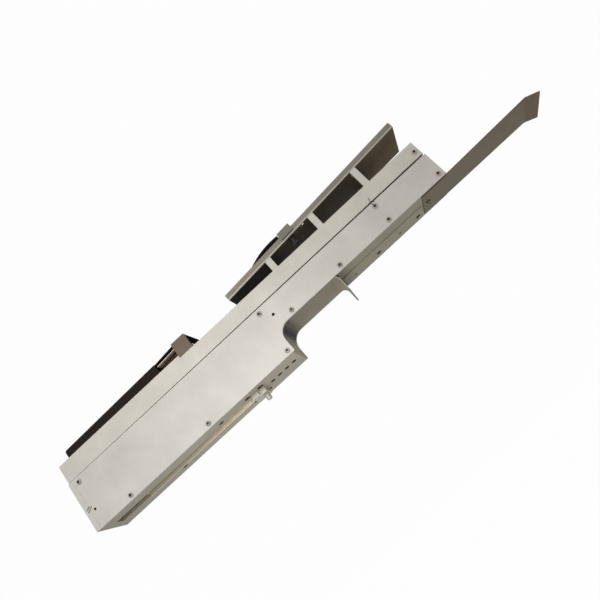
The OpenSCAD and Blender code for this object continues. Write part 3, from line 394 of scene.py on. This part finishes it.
def plastic_finish(name, colour, worn_and_painted, roughness, gloss=0.5):
    """A moulded plastic with a fine even grain, a little dust, and paler bevel edges for edge rub and
    painted highlight.
    """
    material, tree, shader, place = blank_finish(name)
    grain = add_node(tree, "ShaderNodeTexNoise", {
        "Vector": place, "Scale": per_mm(PLASTIC_GRAIN), "Detail": 2.0}).outputs["Fac"]
    dust = add_node(tree, "ShaderNodeTexNoise", {
        "Vector": place, "Scale": per_mm(DUST_SIZE), "Detail": 5.0}).outputs["Fac"]
    dusty = add_node(tree, "ShaderNodeMapRange", {
        "Value": dust, "From Min": DUST_WINDOW[0], "From Max": DUST_WINDOW[1],
        "To Min": 0.0, "To Max": DUST_SHARE})
    # the bevels' paler colour is edge rub and a painted highlight
    wear_and_painted_light = add_node(tree, "ShaderNodeAttribute", attribute_name="wear_and_painted_light")
    pale = add_node(tree, "ShaderNodeMath", {
        0: dusty.outputs["Result"], 1: wear_and_painted_light.outputs["Fac"]}, operation="MAXIMUM")
    tone = add_node(tree, "ShaderNodeMix", {
        "Factor": pale.outputs["Value"], "A": linear(colour), "B": linear(worn_and_painted)}, data_type="RGBA")
    rough = add_node(tree, "ShaderNodeMapRange", {
        "Value": grain, "To Min": roughness - PLASTIC_SPREAD, "To Max": roughness + PLASTIC_SPREAD})
    relief = add_node(tree, "ShaderNodeBump", {
        "Height": grain, "Strength": PLASTIC_RELIEF, "Distance": RELIEF_DEPTH})
    tree.links.new(tone.outputs["Result"], shader.inputs["Base Color"])
    tree.links.new(rough.outputs["Result"], shader.inputs["Roughness"])
    tree.links.new(relief.outputs["Normal"], shader.inputs["Normal"])
    shader.inputs["Specular IOR Level"].default_value = gloss
    return material


WIRE_PITCH = 1.973
# the bands of a wave texture repeat at this length when its scale is 1
WAVE_LENGTH = math.tau / 20
WIRE_RELIEF = 0.6
WIRE_DEPTH = 0.3 * MM


def wound_copper():
    """Enamelled copper wire in close turns; drawn at about 2 mm, several times as coarse as real wire."""
    material, tree, shader, place = blank_finish("enamelled_copper_wire")
    turns = add_node(tree, "ShaderNodeTexWave", {
        "Vector": place, "Scale": per_mm(WIRE_PITCH) * WAVE_LENGTH},
        wave_type="BANDS", bands_direction="X").outputs["Fac"]
    tone = add_node(tree, "ShaderNodeMix", {
        "Factor": turns, "A": linear("#5e2f18"), "B": linear("#c2703f")}, data_type="RGBA")
    relief = add_node(tree, "ShaderNodeBump", {
        "Height": turns, "Strength": WIRE_RELIEF, "Distance": WIRE_DEPTH})
    tree.links.new(tone.outputs["Result"], shader.inputs["Base Color"])
    tree.links.new(relief.outputs["Normal"], shader.inputs["Normal"])
    shader.inputs["Metallic"].default_value = 0.7
    shader.inputs["Roughness"].default_value = 0.35
    return material


WEAVE = 1.0


def lacquered_board():
    """Green solder lacquer over a glass-fibre weave of about 1 mm."""
    material, tree, shader, place = blank_finish("lacquered_circuit_board")
    weave = add_node(tree, "ShaderNodeTexChecker", {
        "Vector": place, "Scale": per_mm(WEAVE), "Color1": linear("#1f4d2c"), "Color2": linear("#245534")})
    tree.links.new(weave.outputs["Color"], shader.inputs["Base Color"])
    shader.inputs["Roughness"].default_value = 0.3
    return material


# black moulded plastic of the lane block: brown-black and matt
finishes["black_plastic"] = plastic_finish("moulded_black_plastic", "#1b140f", "#30281f", roughness=0.6,
                                           gloss=0.12)
# blue moulded case of the trimmer: clean and half matt
finishes["part_blue"] = plastic_finish("moulded_trimmer_case", "#2f5796", "#5d7fb4", roughness=0.4)
# rotor of the trimmer: painted dark with the shade inside the housing, so that its hole looks black
finishes["part_white"] = plastic_finish("shaded_trimmer_rotor", "#3b352d", "#5a5248", roughness=0.6)
finishes["coil_copper"] = wound_copper()
finishes["board_green"] = lacquered_board()
# black moulded plastic of the bridge's gate: deeper in tone than the lane block
gate_plastic = plastic_finish("moulded_black_gate", "#0f0906", "#2a221b", roughness=0.6, gloss=0.06)
print("finishes by slot:", len(finishes))

# %% [markdown]
# Each node gets the finish of its slot, and some pieces have a finish of their own. A node that isn't
# copied below, such as the driver board, carries it itself. The copies ask for it by name.

# %% Finishes on the nodes
slot_of_node = {s["node"]: s["material_slot"] for s in frame["record"]["subparts"]}
finish_of_node = {name: finishes[slot] for name, slot in slot_of_node.items()}
own_finishes = {
    "bridge_cheeks": cheek_coat, "bridge_gate": gate_plastic, "hook_plate": hook_sheet,
    "pin_block": satin_steel, "locating_pin": satin_steel, "neck_floor": neck_metal,
    "neck_strip": neck_metal, "clamp_bar": black_oxide, "clamp_stud": black_oxide,
    "clamp_washer": black_oxide,
}
finish_of_node.update(own_finishes)
for name in nodes:
    if name.endswith("screws"):
        # the base screws sit in their holes and are drawn nearly black with the bores' painted shade
        finish_of_node[name] = bore_shade if name == "base_screws" else screw_zinc
for name, node in nodes.items():
    node.data.materials.clear()
    node.data.materials.append(finish_of_node[name])
print("nodes with a finish:", len(finish_of_node))

# %% [markdown]
# ## Softened edges
#
# A real plate has a small bevel along its edges, and that bevel is what catches the light. Each plate and
# block that shows is copied from its node, welded, cleared of the flat triangles' inner edges, and bevelled
# where faces meet at more than 30 degrees. The bevel faces are marked with the wear_and_painted_light
# attribute, which the finishes read as a paler edge for edge rub and a painted highlight. The two track
# plates keep their triangles and sharp edges, because the tabs on their posts leave no room for a bevel.

# %% Copies of a node's mesh
WELD = 0.002 * MM
FLAT = math.radians(0.6)


def joined(name):
    """A node's triangles as a bmesh, joined at their corners and shaded flat."""
    bm = bmesh.new()
    bm.from_mesh(nodes[name].data)
    bmesh.ops.remove_doubles(bm, verts=bm.verts, dist=WELD)
    for face in bm.faces:
        face.smooth = False
    return bm


def welded(name):
    """A node's mesh as a bmesh of whole faces instead of triangles."""
    bm = joined(name)
    bmesh.ops.dissolve_limit(bm, angle_limit=FLAT, verts=bm.verts, edges=bm.edges)
    return bm


def solids_of(name):
    """The lowest and highest corner of each loose solid in a node, sorted by place."""
    bm = joined(name)
    todo, boxes = set(bm.verts), []
    while todo:
        waiting, found = [todo.pop()], []
        while waiting:
            vert = waiting.pop()
            found.append(vert.co.copy())
            for edge in vert.link_edges:
                other = edge.other_vert(vert)
                if other in todo:
                    todo.discard(other)
                    waiting.append(other)
        boxes.append((Vector(map(min, zip(*found))), Vector(map(max, zip(*found)))))
    bm.free()
    return sorted(boxes, key=lambda box: [round(c / MM, 2) for c in box[0]])


def cut_across(bm, place, way=(1, 0, 0), snap=0):
    """Cuts the faces of a bmesh along a plane, and keeps both sides."""
    everything = bm.verts[:] + bm.edges[:] + bm.faces[:]
    bmesh.ops.bisect_plane(bm, geom=everything, dist=snap, plane_co=place, plane_no=way)


print("tray screws:", len(solids_of("tray_screws")))

# %% Softened copies of plates and blocks
SHARP = math.radians(30)
CREASE = math.radians(25)
LEVEL = math.radians(0.5)
BROAD = 40 * MM * MM


def bevelled(bm, bevel_mm, wear_and_painted_light):
    """Bevels the sharp edges, gives the bevels a share of the paler edge colour for edge rub and painted
    highlight, and shades broad and level faces flat.
    """
    sharp = [e for e in bm.edges if len(e.link_faces) == 2 and e.calc_face_angle(0) > SHARP]
    layer = bm.faces.layers.float.new("wear_and_painted_light")
    made = bmesh.ops.bevel(bm, geom=sharp, offset=bevel_mm * MM, offset_type="OFFSET", segments=2,
                           profile=0.5, affect="EDGES", clamp_overlap=True)
    for face in made["faces"]:
        face[layer] = wear_and_painted_light
    for edge in bm.edges:
        edge.smooth = edge.calc_face_angle(0) < CREASE
    for face in bm.faces:
        level = any(e.calc_face_angle(1) < LEVEL for e in face.edges)
        face.smooth = not level and face.calc_area() < BROAD
    return bm


def stand_in(name, bm, rides=True):
    """A piece that takes the place of a node and rides on the node's body."""
    mesh = bpy.data.meshes.new(name + "_dressed")
    bm.to_mesh(mesh)
    bm.free()
    mesh.materials.append(finish_of_node[name])
    piece = add_object(name + "_dressed", mesh)
    if rides:
        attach(piece, body_of_node[name])
    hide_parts(name)
    return piece


# each piece's bevel in millimetres, and the share of the paler edge colour on its bevel faces, for edge rub
# and a painted highlight; on the clamp bar it is a painted highlight only
BEVELS = {
    "near_side_cover": (0.25, 0.7), "far_side_plate": (0.25, 0.7), "front_block": (0.35, 0.7),
    "rear_block": (0.35, 0.6), "base_plate": (0.35, 0.6), "hook_plate": (0.25, 0.7),
    "neck_floor": (0.2, 0.5), "neck_strip": (0.2, 0.8), "track_deck": (0.3, 0.5), "lane_plate": (0.3, 0.6),
    "lane_block": (0.3, 0.5), "lane_cover": (0.2, 0.5), "bridge_gate": (0.4, 0.5),
    "bridge_cheeks": (0.25, 0.7), "clamp_block": (0.4, 0.6), "pin_block": (0.4, 0.6),
    "guide_rail": (0.4, 0.5), "clamp_bar": (0.4, 0.6),
}
soft_pieces = {}
for name, (width, wear_and_painted_light) in BEVELS.items():
    soft_pieces[name] = stand_in(name, bevelled(welded(name), width, wear_and_painted_light))
for name in ("near_track_plate", "far_track_plate"):
    soft_pieces[name] = stand_in(name, joined(name))
print("softened:", {n: len(p.data.polygons) for n, p in soft_pieces.items()})

# %% [markdown]
# Two steel leaves carry the track, and they bend when it vibrates: the foot stays in the housing's clamp
# and the head goes with the track's. Cuts across each leaf between its clamps give blend the points that
# it needs for that bend.

# %% Bending leaf springs
LEAF_LEAN = math.radians(8)
LEAF_PANELS = 12
LEAF_SNAP = 0.001 * MM
CLAMPED = 15 * MM
leaf_up = Vector((math.sin(LEAF_LEAN), 0, math.cos(LEAF_LEAN)))
for name in ("leaf_spring_front", "leaf_spring_rear"):
    low, high = (Vector(corner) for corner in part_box(name))
    middle = (low + high) / 2
    reach = (high.z - low.z) / 2 / leaf_up.z - CLAMPED
    leaf = joined(name)
    for step in range(LEAF_PANELS + 1):
        cut_across(leaf, middle + leaf_up * reach * (2 * step / LEAF_PANELS - 1), leaf_up, LEAF_SNAP)
    leaf = stand_in(name, leaf, rides=False)
    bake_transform(leaf, "housing", "track", start=middle - leaf_up * reach, end=middle + leaf_up * reach)
    print(name, "bends over", round(2 * reach / MM, 1), "mm in", len(leaf.data.polygons), "faces")

# %% [markdown]
# The seam between the near cover and the track plate isn't even on the real feeder: it is a hairline at
# the front and opens to almost two millimetres at the rear. The edges on both sides of it are moved by
# their share along the feeder.

# %% Tapering seam
SEAM_CLOSE = 0.65 * MM
SEAM_OPEN = 0.95 * MM
EDGE_BAND = 0.8 * MM
cover_low, cover_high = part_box("near_side_cover")
for vert in soft_pieces["near_side_cover"].data.vertices:
    if vert.co.z > cover_high.z - EDGE_BAND:
        vert.co.z -= SEAM_OPEN * (vert.co.x - cover_low.x) / (cover_high.x - cover_low.x)
plate_low, plate_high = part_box("near_track_plate")
for vert in soft_pieces["near_track_plate"].data.vertices:
    if vert.co.z < plate_low.z + EDGE_BAND:
        vert.co.z -= SEAM_CLOSE * (plate_high.x - vert.co.x) / (plate_high.x - plate_low.x)
seam = plate_low.z - cover_high.z
print("seam at the front, the rear:", round((seam - SEAM_CLOSE) / MM, 2), round((seam + SEAM_OPEN) / MM, 2))

# %% [markdown]
# The rail's lip and the broad finger of the near lane carry a painted highlight: the lip is bright along its
# length, and the finger pale from end to end. Both are marked with the wear_and_painted_light attribute, as
# the bevels are.

# %% Painted highlight on the lip and finger
LIP_BAND = 2.2 * MM
rail = soft_pieces["guide_rail"].data
rail_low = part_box("guide_rail")[0]
# the faces of the lip get a painted highlight
for face, wear_and_painted_light in zip(rail.polygons, rail.attributes["wear_and_painted_light"].data):
    if face.center.z < rail_low.z + LIP_BAND:
        wear_and_painted_light.value = 1.0
finger_boxes = solids_of("lane_fingers")
near_boxes = [box for box in finger_boxes if box[0].y < 0]
near_low, near_high = max(near_boxes, key=lambda box: box[1].y - box[0].y)
fingers = welded("lane_fingers")
finger_light = fingers.faces.layers.float.new("wear_and_painted_light")
# the broad near finger gets a painted highlight
for face in fingers.faces:
    if near_low.y <= face.calc_center_median().y <= near_high.y:
        face[finger_light] = 1.0
soft_pieces["lane_fingers"] = stand_in("lane_fingers", fingers)
print("fingers:", len(finger_boxes))

# %% [markdown]
# The front block is finished like the base plate where it faces down, with the base plate's painted shade
# towards the front. The step between the two parts of the pin block, the undersides of the tabs that carry
# the tray, and the inner side of the far plate get painted shade. Those faces get a second material. They
# are picked by which way a face looks and where it lies.

# %% Undersides and painted shade in corners
DOWN = -0.5
SQUARE_ON = 0.9
TAB_RISE = 10 * MM
pin_low, pin_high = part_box("pin_block")


def refinish(name, finish, picked):
    """Gives one more finish to the faces of a dressed piece that the test picks, and counts them."""
    mesh = soft_pieces[name].data
    mesh.materials.append(finish)
    faces = [face for face in mesh.polygons if picked(face)]
    for face in faces:
        face.material_index = len(mesh.materials) - 1
    return len(faces)


def faces_down(face):
    """Whether a face looks down."""
    return face.normal.z < DOWN


def under_tab(face):
    """Whether a face of a track plate is the underside of a tab."""
    return faces_down(face) and face.center.z > plate_low.z + TAB_RISE


def in_pin_step(face):
    """Whether a face of the pin block lies in its step and looks along the feeder."""
    return abs(face.normal.x) > SQUARE_ON and pin_low.x + MM < face.center.x < pin_high.x - MM


def far_plate_shaded(face):
    """Whether a face of the far track plate is under a tab or on the plate's inner side."""
    return under_tab(face) or face.normal.y < -SQUARE_ON


print("faces refinished:", refinish("front_block", finish_of_node["base_plate"], faces_down),
      refinish("pin_block", bore_shade, in_pin_step),
      refinish("near_track_plate", sheet_shade, under_tab),
      refinish("far_track_plate", sheet_shade, far_plate_shaded))

# %% [markdown]
# The holes in the underside read as black spots, so their walls get painted shade. The facets of a hole are
# small and upright, so they are easy to pick out. The near side has two small holes that get painted shade
# as well: a spare one at the front, and the one through which the trimmer is turned.

# %% Dark hole walls
BORE_FACET = 12 * MM * MM
UPRIGHT = 0.2
SPARE_HOLE = Vector((-208.0, 0, 25.8)) * MM
HOLE_REACH = 2.2 * MM
turn_low, turn_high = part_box("trimmer_rotor")
side_holes = (SPARE_HOLE, (turn_low + turn_high) / 2)


def bore_wall(face):
    """Whether a face is a facet of a hole in the underside."""
    return abs(face.normal.z) < UPRIGHT and face.area < BORE_FACET


def at_side_hole(face):
    """Whether a face is a small one at a hole in the near side."""
    away = min(math.hypot(face.center.x - hole.x, face.center.z - hole.z) for hole in side_holes)
    return away < HOLE_REACH and face.area < BORE_FACET


for name in ("base_plate", "neck_strip", "neck_floor", "hook_plate"):
    print(name, "hole facets:", refinish(name, bore_shade, bore_wall))
for name in ("near_side_cover", "front_block"):
    print(name, "hole facets:", refinish(name, bore_shade, at_side_hole))

# %% [markdown]
# ## The stick tray
#
# The tray is one sheet folded up along both sides. Its folds carry a painted highlight, a bright line where
# each fold catches the light. Its underside carries painted shade, and so does the edge of the clamp's slot.
# They are told apart by where a face lies and which way it looks: the folds lie at the sides and face down
# and out, and the underside straight down. Behind its last screws the sheet hangs free, and its far corner
# sags by about a millimetre.

# %% Stick tray
FAR_SAG = 1.2 * MM
PAST_SCREW = 5 * MM
SHEET_BEVEL = 0.2
TRAY_WEAR = 0.1
FOLD_HIGHLIGHT = 0.9
FOLD_BAND = 2 * MM
TILTED = 0.25
tray = welded("stick_tray")
tray_low, tray_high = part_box("stick_tray")
free_x = max((lo.x + hi.x) / 2 for lo, hi in solids_of("tray_screws")) + PAST_SCREW
cut_across(tray, (free_x, 0, 0))
tray = bevelled(tray, SHEET_BEVEL, TRAY_WEAR)
for vert in tray.verts:
    behind = max(0, (vert.co.x - free_x) / (tray_high.x - free_x))
    vert.co.z -= FAR_SAG * behind * (vert.co.y - tray_low.y) / (tray_high.y - tray_low.y)
fold_light_layer = tray.faces.layers.float["wear_and_painted_light"]
# painted highlight on the folds, and painted shade on the underside and the slot's edge
for face in tray.faces:
    outward, down = abs(face.normal.y), -face.normal.z
    across = face.calc_center_median().y
    at_side = min(across - tray_low.y, tray_high.y - across) < FOLD_BAND
    if at_side and outward > TILTED and down > TILTED:
        face[fold_light_layer] = FOLD_HIGHLIGHT
    elif down > SQUARE_ON or not at_side and outward + down > TILTED:
        face.material_index = 1
tray_piece = stand_in("stick_tray", tray)
tray_piece.data.materials.append(sheet_shade)
print("tray faces:", len(tray_piece.data.polygons))

# %% [markdown]
# ## The tail sheet
#
# The thin tail at the loading end isn't quite flat on the real feeder: its near corner stands a few
# millimetres higher than its far one. The node is copied and cut across into short panels, and each point
# is lifted by its share, so the sheet keeps its thickness, its bent tip and its screw hole.

# %% Twisted tail sheet
NEAR_LIFT = 3.2 * MM
TAIL_CUTS = (0.2, 0.35, 0.5, 0.6, 0.7, 0.8, 0.9)
TAIL_WEAR = 0.7
TWIST_START = 0.16
SHORTEST_EDGE = 0.005 * MM
tail_low, tail_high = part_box("tail_plate")
tail_length = tail_high.x - tail_low.x
tail = welded("tail_plate")
for share in TAIL_CUTS:
    cut_across(tail, (tail_low.x + share * tail_length, 0, 0))
tail = bevelled(tail, SHEET_BEVEL, TAIL_WEAR)
bmesh.ops.dissolve_degenerate(tail, dist=SHORTEST_EDGE, edges=tail.edges)
twist_x = tail_low.x + TWIST_START * tail_length
for vert in tail.verts:
    along_tail = max(0, (vert.co.x - twist_x) / (tail_high.x - twist_x))
    across_tail = (tail_high.y - vert.co.y) / (tail_high.y - tail_low.y)
    vert.co.z += NEAR_LIFT * along_tail * across_tail
tail_piece = stand_in("tail_plate", tail)
print("tail faces:", len(tail_piece.data.polygons))

# %% [markdown]
# ## Cover screws
#
# The covers are held by small button-head screws with a hexagon socket. They are all alike, so a Geometry
# Nodes tree makes one head and sets it on points. Each point carries the way its head faces. The points
# come from the screw nodes of the frame, one for each loose solid, so they follow the construction model.
# A fixed seed turns each head by its own angle, as screws are never lined up.

# %% Screw tree
HEAD_SIDES = 32
SOCKET_SIDES = 6
SIDE_SHARE = 0.5
CROWN_SHARE = 0.66
LARGEST_SPIN = 1.05
SPIN_SEED = 7


def screw_tree():
    """Heads on points: a cylinder and a cone, with a hexagon socket cut out."""
    tree = bpy.data.node_groups.new("button_head_screws", "GeometryNodeTree")
    interface = tree.interface
    interface.new_socket("Geometry", in_out="INPUT", socket_type="NodeSocketGeometry")
    for label in ("Head Radius", "Head Height", "Socket Radius"):
        interface.new_socket(label, in_out="INPUT", socket_type="NodeSocketFloat")
    interface.new_socket("Finish", in_out="INPUT", socket_type="NodeSocketMaterial")
    interface.new_socket("Geometry", in_out="OUTPUT", socket_type="NodeSocketGeometry")
    given = add_node(tree, "NodeGroupInput").outputs
    side_h = add_node(tree, "ShaderNodeMath", {
        0: given["Head Height"], 1: SIDE_SHARE}, operation="MULTIPLY").outputs[0]
    crown_r = add_node(tree, "ShaderNodeMath", {
        0: given["Head Radius"], 1: CROWN_SHARE}, operation="MULTIPLY").outputs[0]
    half_side = add_node(tree, "ShaderNodeMath", {0: side_h, 1: 0.5}, operation="MULTIPLY").outputs[0]
    side = add_node(tree, "GeometryNodeMeshCylinder", {
        "Vertices": HEAD_SIDES, "Radius": given["Head Radius"], "Depth": side_h}).outputs["Mesh"]
    crown = add_node(tree, "GeometryNodeMeshCone", {
        "Vertices": HEAD_SIDES, "Radius Top": crown_r, "Radius Bottom": given["Head Radius"],
        "Depth": side_h}).outputs["Mesh"]
    socket = add_node(tree, "GeometryNodeMeshCylinder", {
        "Vertices": SOCKET_SIDES, "Radius": given["Socket Radius"],
        "Depth": given["Head Height"]}).outputs["Mesh"]
    side_at = add_node(tree, "ShaderNodeCombineXYZ", {"Z": half_side}).outputs["Vector"]
    crown_at = add_node(tree, "ShaderNodeCombineXYZ", {"Z": side_h}).outputs["Vector"]
    socket_at = add_node(tree, "ShaderNodeCombineXYZ", {"Z": given["Head Height"]}).outputs["Vector"]
    side = add_node(tree, "GeometryNodeTransform", {
        "Geometry": side, "Translation": side_at}).outputs["Geometry"]
    crown = add_node(tree, "GeometryNodeTransform", {
        "Geometry": crown, "Translation": crown_at}).outputs["Geometry"]
    socket = add_node(tree, "GeometryNodeTransform", {
        "Geometry": socket, "Translation": socket_at}).outputs["Geometry"]
    # the socket's faces take the finish's second colour, which paints shade into the socket
    socket = add_node(tree, "GeometryNodeStoreNamedAttribute", {
        "Geometry": socket, "Name": "wear_and_painted_light", "Value": 1.0},
        data_type="FLOAT", domain="FACE").outputs["Geometry"]
    solid = add_node(tree, "GeometryNodeMeshBoolean", {"Mesh 2": side}, operation="UNION")
    tree.links.new(crown, solid.inputs["Mesh 2"])
    cut = add_node(tree, "GeometryNodeMeshBoolean", {
        "Mesh 1": solid.outputs["Mesh"], "Mesh 2": socket}, operation="DIFFERENCE").outputs["Mesh"]
    facing = add_node(tree, "GeometryNodeInputNamedAttribute", {"Name": "facing"}, data_type="FLOAT_VECTOR")
    turn = add_node(tree, "FunctionNodeAlignRotationToVector", {
        "Vector": facing.outputs["Attribute"]}, axis="Z")
    spin = add_node(tree, "FunctionNodeRandomValue", {
        "Min": 0.0, "Max": LARGEST_SPIN, "Seed": SPIN_SEED}, data_type="FLOAT")
    spin_z = add_node(tree, "ShaderNodeCombineXYZ", {"Z": spin.outputs[1]}).outputs["Vector"]
    set_out = add_node(tree, "GeometryNodeInstanceOnPoints", {
        "Points": given["Geometry"], "Instance": cut,
        "Rotation": turn.outputs["Rotation"]}).outputs["Instances"]
    turned = add_node(tree, "GeometryNodeRotateInstances", {"Instances": set_out, "Rotation": spin_z})
    real = add_node(tree, "GeometryNodeRealizeInstances", {"Geometry": turned.outputs["Instances"]})
    named = add_node(tree, "GeometryNodeSetMaterial", {
        "Geometry": real.outputs["Geometry"], "Material": given["Finish"]})
    add_node(tree, "NodeGroupOutput", {"Geometry": named.outputs["Geometry"]})
    return tree


SCREWS = screw_tree()
print("screw tree nodes:", len(SCREWS.nodes))

# %% [markdown]
# The points are found by walking over each screw node's mesh and splitting it into its loose solids. Each
# head sits one head height under its screw's outer end. The heads become plain meshes, because the
# export drops instances.

# %% Screws set on their points
HEAD_RADIUS = 2.75 * MM
HEAD_HEIGHT = 1.6 * MM
SOCKET_RADIUS = 1.55 * MM


def set_screws(name, points, facings, finish, body, replaced):
    """One plain mesh of screw heads that rides on a body."""
    mesh = bpy.data.meshes.new(name)
    mesh.from_pydata(points, [], [])
    facing = mesh.attributes.new("facing", "FLOAT_VECTOR", "POINT")
    facing.data.foreach_set("vector", [c for f in facings for c in f])
    piece = add_object(name, mesh)
    maker = piece.modifiers.new("screws", "NODES")
    maker.node_group = SCREWS
    sizes = {"Head Radius": HEAD_RADIUS, "Head Height": HEAD_HEIGHT, "Socket Radius": SOCKET_RADIUS,
             "Finish": finish}
    for item in SCREWS.interface.items_tree:
        if item.in_out == "INPUT" and item.name in sizes:
            maker[item.identifier] = sizes[item.name]
    made = bpy.data.meshes.new_from_object(piece.evaluated_get(bpy.context.evaluated_depsgraph_get()))
    piece.modifiers.remove(maker)
    piece.data = made
    made.set_sharp_from_angle(angle=CREASE)
    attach(piece, body)
    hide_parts(*replaced)
    return piece


def side_seats(name):
    """Head seats and facings for a node of screws that lie along Y, each facing out of its own side."""
    seats, facings = [], []
    for low, high in solids_of(name):
        out = -1 if low.y + high.y < 0 else 1
        seat_y = (low.y if out < 0 else high.y) - out * HEAD_HEIGHT
        seats.append(Vector(((low.x + high.x) / 2, seat_y, (low.z + high.z) / 2)))
        facings.append(Vector((0, out, 0)))
    return seats, facings


near_seats, near_facings = side_seats("near_cover_screws")
far_seats, far_facings = side_seats("far_cover_screws")
end_seats, end_facings = side_seats("track_end_screws")
screw_low, screw_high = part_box("tail_screw")
tail_seat = Vector(((screw_low.x + screw_high.x) / 2, 0, screw_low.z + HEAD_HEIGHT))
heads = [
    set_screws("cover_screw_heads", near_seats + far_seats, near_facings + far_facings, screw_zinc,
               "housing", ["near_cover_screws", "far_cover_screws"]),
    set_screws("track_screw_heads", end_seats, end_facings, screw_zinc, "track",
               ["track_end_screws"]),
    set_screws("tail_screw_head", [tail_seat], [Vector((0, 0, -1))], dull_zinc, "housing",
               ["tail_screw"]),
]
print("screw heads, faces:", {head.name: len(head.data.polygons) for head in heads})

# %% [markdown]
# ## Stage and light
#
# The photograph shows the feeder cut out on plain white, lit softly from the camera's side, with its
# underside in soft shade. A pale floor lies well below the low camera, and keeps some of the shadow. The
# world is white to camera, glossy and transmission rays, and dimmer as a light, so a white background
# costs the feeder none of its shading.

# %% Floor
FLOOR_Z = -0.45
FLOOR_HALF = 6
FLOOR_GLOW = 0.85
FLOOR_WHITE = 1.1
FLOOR_CORNERS = ((-1, -1), (1, -1), (1, 1), (-1, 1))


def background_rays(tree):
    """A socket that is 1 for camera, glossy and transmission rays, and 0 for the rays that carry light."""
    ray = add_node(tree, "ShaderNodeLightPath").outputs
    direct = add_node(tree, "ShaderNodeMath", {
        0: ray["Is Camera Ray"], 1: ray["Is Glossy Ray"]}, operation="MAXIMUM").outputs[0]
    return add_node(tree, "ShaderNodeMath", {
        0: direct, 1: ray["Is Transmission Ray"]}, operation="MAXIMUM").outputs[0]


floor_mesh = bpy.data.meshes.new("studio_floor")
floor_mesh.from_pydata([(x * FLOOR_HALF, y * FLOOR_HALF, FLOOR_Z) for x, y in FLOOR_CORNERS], [],
                       [(0, 1, 2, 3)])
floor = add_object("studio_floor", floor_mesh)
# matt studio paper: pale and even, and partly its own light where it is the background
floor_material, floor_tree, floor_shader, _ = blank_finish("pale_studio_floor")
floor_shader.inputs["Base Color"].default_value = linear("#f0efec")
floor_shader.inputs["Roughness"].default_value = 0.8
glow = add_node(floor_tree, "ShaderNodeEmission", {"Color": (1, 1, 1, 1), "Strength": FLOOR_WHITE})
seen = add_node(floor_tree, "ShaderNodeMath", {
    0: background_rays(floor_tree), 1: FLOOR_GLOW}, operation="MULTIPLY")
floor_mix = add_node(floor_tree, "ShaderNodeMixShader", {
    0: seen.outputs[0], 1: floor_shader.outputs[0], 2: glow.outputs[0]})
floor_tree.links.new(floor_mix.outputs[0], floor_tree.nodes["Material Output"].inputs["Surface"])
floor_mesh.materials.append(floor_material)
print("floor at", FLOOR_Z)

# %% World
WORLD_LIGHT = 0.32
WORLD_WHITE = 0.985
world = bpy.data.worlds.new("white_studio")
bpy.context.scene.world = world
world.use_nodes = True
sky = world.node_tree
strength = add_node(sky, "ShaderNodeMapRange", {
    "Value": background_rays(sky), "To Min": WORLD_LIGHT, "To Max": WORLD_WHITE})
background = sky.nodes["Background"]
background.inputs["Color"].default_value = (1, 1, 1, 1)
sky.links.new(strength.outputs["Result"], background.inputs["Strength"])
print("world as a light:", WORLD_LIGHT)

# %% [markdown]
# A key lamp about half a metre in front of the near side makes its middle brightest, and a soft lamp from
# above fills in the rest. Both are large squares, so their shadows have soft edges.

# %% Lamps
KEY_PLACE = (-0.06, -0.5, 0.03)
KEY_AIM = (-0.06, 0, 0.035)
TOP_PLACE = (-0.3, -0.7, 1.2)
TOP_AIM = (0, 0, 0.04)


def soft_lamp(name, place, aim, size, power):
    """A large square lamp that looks at a point."""
    data = bpy.data.lights.new(name, "AREA")
    data.shape = "SQUARE"
    data.size = size
    data.energy = power
    lamp = add_object(name, data)
    lamp.location = place
    lamp.rotation_euler = (Vector(aim) - Vector(place)).to_track_quat("-Z", "Y").to_euler()
    lamp.visible_camera = False


soft_lamp("key_lamp", KEY_PLACE, KEY_AIM, size=0.32, power=1.2)
soft_lamp("top_lamp", TOP_PLACE, TOP_AIM, size=0.6, power=3.0)

# %% [markdown]
# ## View
#
# The Standard view shows a colour about as it is written.

# %% View
bpy.context.scene.view_settings.view_transform = "Standard"
